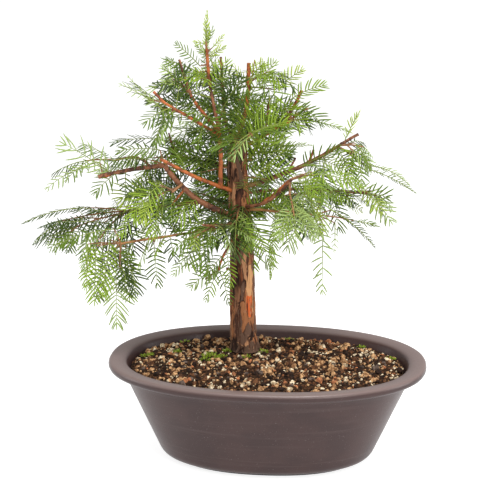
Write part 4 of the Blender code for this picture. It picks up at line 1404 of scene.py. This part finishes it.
def dress_bough(name, first, colour, longest, pitch, seed):
    draw, leaves, path = random.Random(seed), foliage[colour], limb_paths[name]
    length = path_length(path)
    spot_at, upright, loose = first, name == "trunk", name in LOOSE
    while spot_at < length - 3:
        spot, ahead = along_path(path, spot_at)
        heading = math.degrees(math.atan2(ahead.y, ahead.x))
        climb = math.degrees(math.asin(max(-1, min(1, ahead.z))))
        roll = draw.uniform(-180, 180) if upright else draw.gauss(0, 45)
        base = rolled(aimed(heading, climb), roll)
        for side in (-1, 1):
            if draw.random() < 0.12:
                continue
            arrows = turned(base, side * draw.uniform(42, 75))
            reach = longest * draw.uniform(0.55, 1.0)
            tint = draw.choices(range(5), TINT_SHARES[colour])[0]
            foot = spot + arrows.col[0] * (8.0 if upright else 0.0)
            leaves.feather(draw, foot, rolled(arrows, draw.gauss(0, 35)), reach,
                           min(38 if upright else 31, reach * 0.8) * (LOOSE_WIDTH if loose else 1),
                           draw.uniform(10, 60), tint, "loose" if loose else "full")
        spot_at += pitch * draw.uniform(0.7, 1.3)


for seed, (name, row) in enumerate(LEAFY.items(), 101):
    dress_bough(name, *row, seed)
print("feathers with those of the boughs", sum(len(leaves.shoots) for leaves in foliage.values()))

# %% [markdown]
# The picture shows some feathers one by one: the broad fern at the left, the big feathers that
# hang below it, the thin new shoots that trail from the right, the lime sprout at the very top.
# Each has a row with the pixels of its foot and its tip. It grows from the named bough, or else
# from the one that the picture shows nearest, where need be on a twig of its own, and its tip is
# so many millimetres behind its foot, or in front of it. Its upper side is turned to the eye and
# then tilted a little, because a feather is drawn as it is seen.

# %% The leading feathers
REACHED = 5.0                  # a foot nearer than this to its bough in the picture needs no twig
SHORTEST_TWIG = 3.0
LEADING = [                    # foot, tip, bough, how much deeper, width, tilt, bow, kind, tint
    # left fern
    ((112, 172), (67, 144), "left_outer", -8, 36, 10, 10, "sparse", "pale"),
    ((100, 162), (47, 185), "left_outer", -15, 18, 15, 30, "sparse", "pale"),
    ((118, 169), (96, 190), "left_outer", -10, 26, 30, 20, "full", "mid"),
    ((175, 142), (114, 141), None, -5, 26, 60, 25, "full", "dark"),
    ((160, 150), (120, 150), None, 10, 26, 40, 20, "full", "mid"),
    ((150, 160), (112, 160), "left_main", -20, 26, 50, 20, "full", "dark"),
    # bright mass
    ((166, 209), (140, 187), None, -15, 38, 20, 30, "full", "lime"),
    ((150, 190), (122, 196), None, -10, 36, 10, 40, "full", "lime"),
    ((160, 185), (132, 212), None, -15, 36, 20, 30, "full", "fresh"),
    ((178, 142), (144, 172), None, -25, 26, 75, 10, "full", "fresh"),
    ((150, 196), (150, 226), None, -12, 34, 10, 20, "full", "fresh"),
    ((200, 196), (178, 216), None, -25, 36, 25, 30, "full", "fresh"),
    ((224, 205), (190, 198), None, -20, 38, 35, 20, "full", "mid"),
    ((222, 216), (186, 232), None, -25, 38, 25, 30, "full", "mid"),
    ((215, 200), (165, 206), None, -22, 34, 50, 25, "full", "fresh"),
    # low left
    ((122, 216), (80, 207), None, -5, 16, 55, 5, "full", "dark"),
    ((82, 208), (23, 222), "left_low", -10, 11, 50, 25, "young", "dark"),
    ((112, 224), (56, 222), None, -5, 24, 50, 15, "full", "dark"),
    ((62, 221), (33, 242), "left_low", -5, 12, 40, 20, "young", "dark"),
    ((114, 229), (51, 246), None, -10, 20, 40, 20, "full", "mid"),
    ((100, 225), (62, 240), "left_low", -12, 26, 35, 20, "full", "mid"),
    ((135, 222), (100, 240), None, -12, 32, 30, 30, "full", "dark"),
    ((128, 222), (134, 250), None, -10, 32, 20, 10, "full", "dark"),
    # hanging feathers, left
    ((116, 248), (116, 323), "left_long", -10, 36, 6, 6, "full", "pale"),
    ((96, 246), (94, 300), "left_long", -16, 27, -14, 6, "full", "fresh"),
    ((126, 250), (131, 297), "left_long", -4, 28, 14, 6, "full", "fresh"),
    ((110, 240), (102, 292), "left_long", -20, 30, 8, 6, "full", "fresh"),
    ((122, 246), (122, 286), "left_long", 4, 30, -10, 6, "full", "mid"),
    ((88, 244), (86, 286), "left_long", -12, 24, 10, 6, "full", "fresh"),
    ((154, 244), (158, 283), "left_long", -4, 26, 5, 6, "full", "mid"),
    ((169, 232), (175, 259), "left_long", -8, 20, -20, 6, "full", "dark"),
    ((198, 246), (173, 272), None, -15, 17, 0, 25, "full", "pale"),
    ((200, 238), (186, 262), None, -12, 30, 20, 20, "full", "fresh"),
    ((216, 236), (196, 262), None, -15, 32, 10, 25, "full", "mid"),
    # front of the trunk
    ((238, 210), (209, 236), "front_left", -20, 40, 25, 30, "full", "dark"),
    ((232, 200), (200, 224), None, -20, 38, 35, 30, "full", "dark"),
    ((251, 222), (251, 268), "front_low", -6, 30, 0, 4, "full", "fresh"),
    ((240, 206), (226, 240), None, -24, 38, 10, 30, "full", "dark"),
    ((246, 196), (240, 222), None, -26, 38, -10, 30, "full", "dark"),
    ((248, 214), (262, 246), None, -16, 34, 10, 15, "full", "fresh"),
    ((256, 226), (270, 262), None, -12, 30, 20, 10, "full", "pale"),
    # right, above the main bough
    ((250, 169), (288, 170), "front_high", -10, 27, 0, 5, "full", "fresh"),
    ((252, 160), (292, 150), None, -12, 20, 30, 10, "full", "mid"),
    ((262, 147), (310, 145), None, -10, 9, 30, 10, "young", "pale"),
    ((252, 150), (286, 128), None, -14, 36, 40, 20, "full", "fresh"),
    ((250, 158), (282, 138), None, -20, 34, 55, 10, "full", "fresh"),
    ((300, 168), (336, 150), "right_main", -10, 26, 40, 10, "full", "mid"),
    ((268, 176), (262, 206), None, -14, 30, 20, 10, "full", "mid"),
    # trailing shoots on the right
    ((309, 120), (351, 132), "right_upper", -10, 8, 20, 15, "young", "pale"),
    ((355, 143), (372, 166), "right_main", -10, 12, 20, 20, "full", "mid"),
    ((372, 166), (410, 183), "right_main", -15, 8, 20, 40, "young", "pale"),
    ((371, 170), (415, 191), "right_main", -8, 8, 20, 20, "young", "mid"),
    ((360, 186), (392, 218), "right_low", -15, 27, 5, 25, "full", "pale"),
    ((366, 193), (386, 196), "right_low", -10, 26, 30, 20, "full", "mid"),
    ((346, 205), (361, 210), "right_low", -20, 14, 20, 10, "full", "lime"),
    ((332, 210), (376, 244), "right_thin", -5, 10, 30, 25, "young", "dark"),
    ((355, 221), (378, 226), "right_thin", -5, 9, 20, 15, "young", "mid"),
    ((345, 140), (358, 112), "right_main", -6, 12, 30, 5, "young", "lime"),
    ((340, 150), (352, 176), "right_main", -15, 30, 20, 10, "full", "fresh"),
    ((325, 160), (318, 196), "right_main", -15, 30, 60, 8, "full", "pale"),
    ((312, 172), (306, 214), "front_right", -12, 32, 55, 8, "full", "pale"),
    ((306, 178), (300, 224), "front_right", -20, 34, 20, 8, "full", "pale"),
    ((322, 196), (318, 232), "right_thin", -10, 32, 15, 8, "full", "pale"),
    ((300, 214), (286, 244), "right_thin", -12, 32, 20, 20, "full", "pale"),
    ((330, 196), (340, 226), None, -12, 30, 25, 15, "full", "mid"),
    ((277, 212), (269, 277), "right_thin", -10, 12, 20, 6, "young", "fresh"),
    ((323, 224), (322, 290), "right_thin", -15, 22, 0, 4, "sparse", "pale"),
    ((335, 223), (335, 250), "right_thin", -8, 10, 0, 4, "sparse", "pale"),
    ((217, 270), (205, 298), "front_low", -5, 18, 10, 10, "full", "fresh"),
    ((218, 272), (230, 302), "front_low", -3, 16, 10, 5, "full", "mid"),
    ((219, 266), (192, 284), "front_low", -8, 22, 10, 20, "full", "pale"),
    ((224, 254), (206, 274), "front_low", -8, 22, 20, 20, "full", "mid"),
    ((226, 250), (232, 284), "front_low", -4, 18, 0, 10, "full", "fresh"),
    # crown
    ((207, 50), (207, 13), "top_leader", 0, 9, 0, 0, "young", "lime"),
    ((207, 44), (195, 42), "top_leader", -4, 8, 0, 0, "young", "lime"),
    ((212, 48), (223, 36), "top_leader", 4, 8, 0, 0, "young", "lime"),
    ((206, 56), (197, 46), "top_leader", -6, 10, 0, 0, "young", "fresh"),
    ((209, 58), (224, 47), "top_leader", -6, 10, 0, 0, "young", "lime"),
    ((200, 66), (178, 44), None, -12, 15, 20, 10, "full", "mid"),
    ((198, 72), (168, 60), None, -12, 20, 40, 10, "full", "mid"),
    ((195, 80), (160, 84), None, -15, 24, 40, 20, "full", "dark"),
    ((180, 81), (163, 68), None, -10, 16, 20, 0, "full", "pale"),
    ((170, 115), (128, 79), None, -10, 9, 20, -10, "sparse", "pale"),
    ((150, 100), (122, 84), None, -14, 12, 20, 10, "sparse", "pale"),
    ((172, 110), (146, 120), None, -12, 26, 20, 30, "full", "mid"),
    ((170, 106), (152, 140), None, -8, 24, 30, 20, "full", "mid"),
    ((248, 80), (262, 64), "right_leader", -8, 20, 20, 5, "full", "lime"),
    ((245, 86), (234, 66), "right_leader", -8, 14, 20, 5, "full", "lime"),
    ((250, 100), (272, 62), "right_leader", -10, 22, 20, 10, "full", "fresh"),
    ((275, 90), (300, 70), None, -8, 20, 20, 10, "full", "lime"),
    ((290, 100), (322, 84), None, -10, 22, 20, 25, "full", "fresh"),
    ((300, 106), (322, 122), None, -8, 24, 40, 20, "full", "mid"),
    ((285, 108), (309, 120), None, -12, 26, 40, 20, "full", "mid"),
    ((262, 118), (290, 104), None, -14, 28, 50, 10, "full", "mid"),
    ((238, 100), (222, 80), None, -15, 26, 30, 20, "full", "dark"),
    ((232, 120), (228, 92), None, -20, 28, 20, 10, "full", "dark"),
    ((236, 126), (252, 96), None, -22, 30, 30, 10, "full", "mid"),
    ((228, 118), (206, 100), None, -22, 28, 35, 15, "full", "mid"),
    ((222, 110), (240, 78), "left_leader", -12, 24, 20, 10, "full", "dark"),
    ((214, 96), (224, 62), None, -6, 22, 20, 10, "full", "fresh"),
    ((216, 120), (190, 112), None, -18, 28, 50, 20, "full", "mid"),
    ((210, 100), (180, 92), None, -15, 26, 50, 20, "full", "dark"),
    ((208, 84), (232, 74), None, -12, 24, 40, 15, "full", "dark"),
    ((246, 112), (270, 120), None, -22, 28, 40, 25, "full", "fresh"),
    ((226, 134), (204, 138), None, -18, 28, 40, 15, "full", "mid"),
    ((240, 143), (222, 112), "trunk", -22, 36, 60, 10, "full", "mid"),
    ((242, 144), (238, 106), "trunk", -26, 38, 30, 10, "full", "dark"),
    ((243, 142), (256, 110), "trunk", -24, 36, 50, 10, "full", "fresh"),
    ((244, 144), (268, 120), "trunk", -22, 36, 70, 15, "full", "mid"),
    ((238, 146), (216, 128), "trunk", -24, 34, 60, 20, "full", "dark"),
    ((242, 146), (232, 130), "trunk", -34, 34, 20, 50, "full", "mid"),
    ((245, 148), (262, 138), "trunk", -28, 34, 40, 40, "full", "fresh"),
    ((250, 132), (282, 122), None, -20, 34, 50, 10, "full", "fresh"),
]
COLOUR_OF_TINT = {"dark": "dark", "mid": "mid", "fresh": "new", "lime": "new", "pale": "pale"}


def facing_roll(heading, climb):
    """The roll that turns a feather's upper side to the eye."""
    arrows = aimed(heading, climb)
    return math.degrees(math.atan2(-arrows.col[1].dot(back), arrows.col[2].dot(back)))


for seed, (foot, tip, bough, deeper, width, tilt, droop, kind, tint) in enumerate(LEADING, 301):
    draw, leaves = random.Random(seed), foliage[COLOUR_OF_TINT[tint]]
    root, gap = nearest_place(foot, bough)
    start = place_shown(foot, behind_trunk(root)) if gap > REACHED else root
    if (start - root).length > SHORTEST_TWIG:
        rise = Vector((0, 0, 0.12 * (start - root).length))
        leaves.twig([root.lerp(start, share) + rise * (share - share * share)
                     for share in (0, 0.2, 0.4, 0.6, 0.8, 1)], 0.8, 0.45)
    heading, climb, length = direction_to(start, place_shown(tip, behind_trunk(start) + deeper))
    bow_up = droop / 2 * math.cos(math.radians(climb))
    arrows = rolled(aimed(heading, climb + bow_up), facing_roll(heading, climb) + tilt)
    leaves.feather(draw, start, arrows, length, width, droop, TINT_NAMES.index(tint), kind, False)
for colour, leaves in foliage.items():
    print(colour, "feathers", len(leaves.shoots), "needles", len(leaves.needles),
          "twigs", len(leaves.twigs))

# %% [markdown]
# The needles are painted with plain tints, one for each feather, from the deep green of last
# month's leaves to the lime of the newest. Every tint is a leaf surface with a soft sheen.

# %% Join the needles and the twigs
TINTS = [("dark", (0.042, 0.080, 0.005)), ("mid", (0.108, 0.180, 0.011)),
         ("fresh", (0.215, 0.325, 0.022)), ("lime", (0.340, 0.440, 0.050)),
         ("pale", (0.290, 0.385, 0.120))]
MOST_NEEDLES = 5800
NEEDLE_TRIS = len(NEEDLE_FACES)


def leaf_material(name, tone):
    material, tree, shader = new_material(name, roughness=0.42, specular=0.35)
    shader.inputs["Base Color"].default_value = rgb(*tone)
    return material


leaf_materials = [leaf_material("needle_" + name, tone) for name, tone in TINTS]
shoot_material = leaf_material("green_shoot", (0.20, 0.25, 0.045))
CAD_LEAVES = {colour: ["foliage_" + row[0] for row in MASSES if row[-1] == colour]
              for colour in TINT_SHARES}
for colour, leaves in foliage.items():
    for part, first in enumerate(range(0, len(leaves.needles), MOST_NEEDLES), 1):
        rows = leaves.needles[first:first + MOST_NEEDLES]
        tints = np.repeat(leaves.tints[first:first + MOST_NEEDLES], NEEDLE_TRIS)
        piece = mesh_from_arrays(f"needles_{colour}_{part}", *place_needles(rows), tints)
        for material in leaf_materials:
            piece.data.materials.append(material)
        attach(piece, "root")
        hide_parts(*CAD_LEAVES[colour])
        print(piece.name, "needles", len(rows), "triangles", triangles(piece))

    shoots = new_curve("shoots_" + colour, 0)
    for points, radii in leaves.shoots:
        draw_line(shoots, points, radii)
    shoots = as_mesh(shoots, "shoots_" + colour)
    shoots.data.materials.append(shoot_material)
    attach(shoots, "root")
    for points, radii in leaves.twigs:
        draw_line(bough_curves["young"], points, radii)
    print(shoots.name, "triangles", triangles(shoots))

# %% [markdown]
# Moss has settled in tufts near the trunk and by the rim. A tuft is a dome of the same blade
# as a needle, only 2 mm long, standing outwards from its middle.

# %% Moss
SOIL_SEEN = 86.5               # height at which the picture shows the tufts
MOSS_LEAN, MOSS_SPREAD = 25, 45        # degrees off upright in a tuft's middle, added at its edge
MOSS = [                       # pixel of the tuft's middle, half width, blades
    ((211, 356), 7.5, 130), ((205, 360), 4.0, 50), ((147, 354), 5.0, 60), ((178, 352), 3.5, 40),
    ((228, 350), 4.0, 60), ((263, 351), 4.0, 50), ((222, 357), 3.5, 40), ((290, 340), 3.5, 40),
    ((391, 356), 3.5, 40), ((361, 344), 3.0, 30), ((185, 340), 3.0, 30), ((247, 356), 3.0, 30),
]
blades, draw = [], random.Random(91)
for pixel, half, count in MOSS:
    x, y, _ = place_on_level(pixel, SOIL_SEEN)
    for _ in range(count):
        turn, away = draw.uniform(0, math.tau), half * draw.random() ** 0.6
        spot_x, spot_y = x + away * math.cos(turn), y + away * math.sin(turn)
        height = soil_height(spot_x, spot_y)
        if height is None:
            continue
        lean = MOSS_LEAN + MOSS_SPREAD * away / half
        arrows = rolled(aimed(math.degrees(turn) + draw.uniform(-60, 60),
                              90 - lean + draw.uniform(-20, 20)), draw.uniform(0, 180))
        blades.append((Vector((spot_x, spot_y, height + 0.6)), arrows.col[0], arrows.col[1],
                       arrows.col[2], draw.uniform(1.8, 3.4), 0.1, 0.1))
moss = mesh_from_arrays("moss", *place_needles(blades))
moss.data.materials.append(leaf_material("moss_green", (0.230, 0.320, 0.016)))
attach(moss, "root")
print("moss blades", len(blades), "triangles", triangles(moss))

# %% [markdown]
# The bark of a bough changes with its age: grey brown and dull on the old ones, orange red on
# those of last year, and yellow on the thinnest. One cloudy material with two tones gives each
# of them, and the curves become meshes only now, when every twig has been drawn.

# %% Bark of the boughs
BOUGH_BARK = {                 # tone, second tone
    "old": ((0.270, 0.105, 0.048), (0.070, 0.026, 0.014)),
    "red": ((0.42, 0.115, 0.028), (0.16, 0.044, 0.016)),
    "yellow": ((0.42, 0.20, 0.07), (0.26, 0.11, 0.045)),
    "young": ((0.27, 0.125, 0.050), (0.14, 0.070, 0.030)),
}
bough_nodes = [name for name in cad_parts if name.startswith("bough_")]
for bark, curve in bough_curves.items():
    tone, second = BOUGH_BARK[bark]
    boughs = as_mesh(curve, "boughs_" + bark)
    boughs.data.materials.append(cloudy_material(
        "bark_" + bark, rgb(*tone), rgb(*second), 160.0, (1, 1, 1), (0.42, 0.62),
        (800.0, (1, 1, 1), 0.55, 0.2, 0.3), specular=0.35))
    take(boughs)
    bpy.ops.object.shade_smooth_by_angle(angle=math.radians(60))
    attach(boughs, "root")
    if bark == "old":
        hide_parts(*bough_nodes)
    print(boughs.name, "triangles", triangles(boughs))
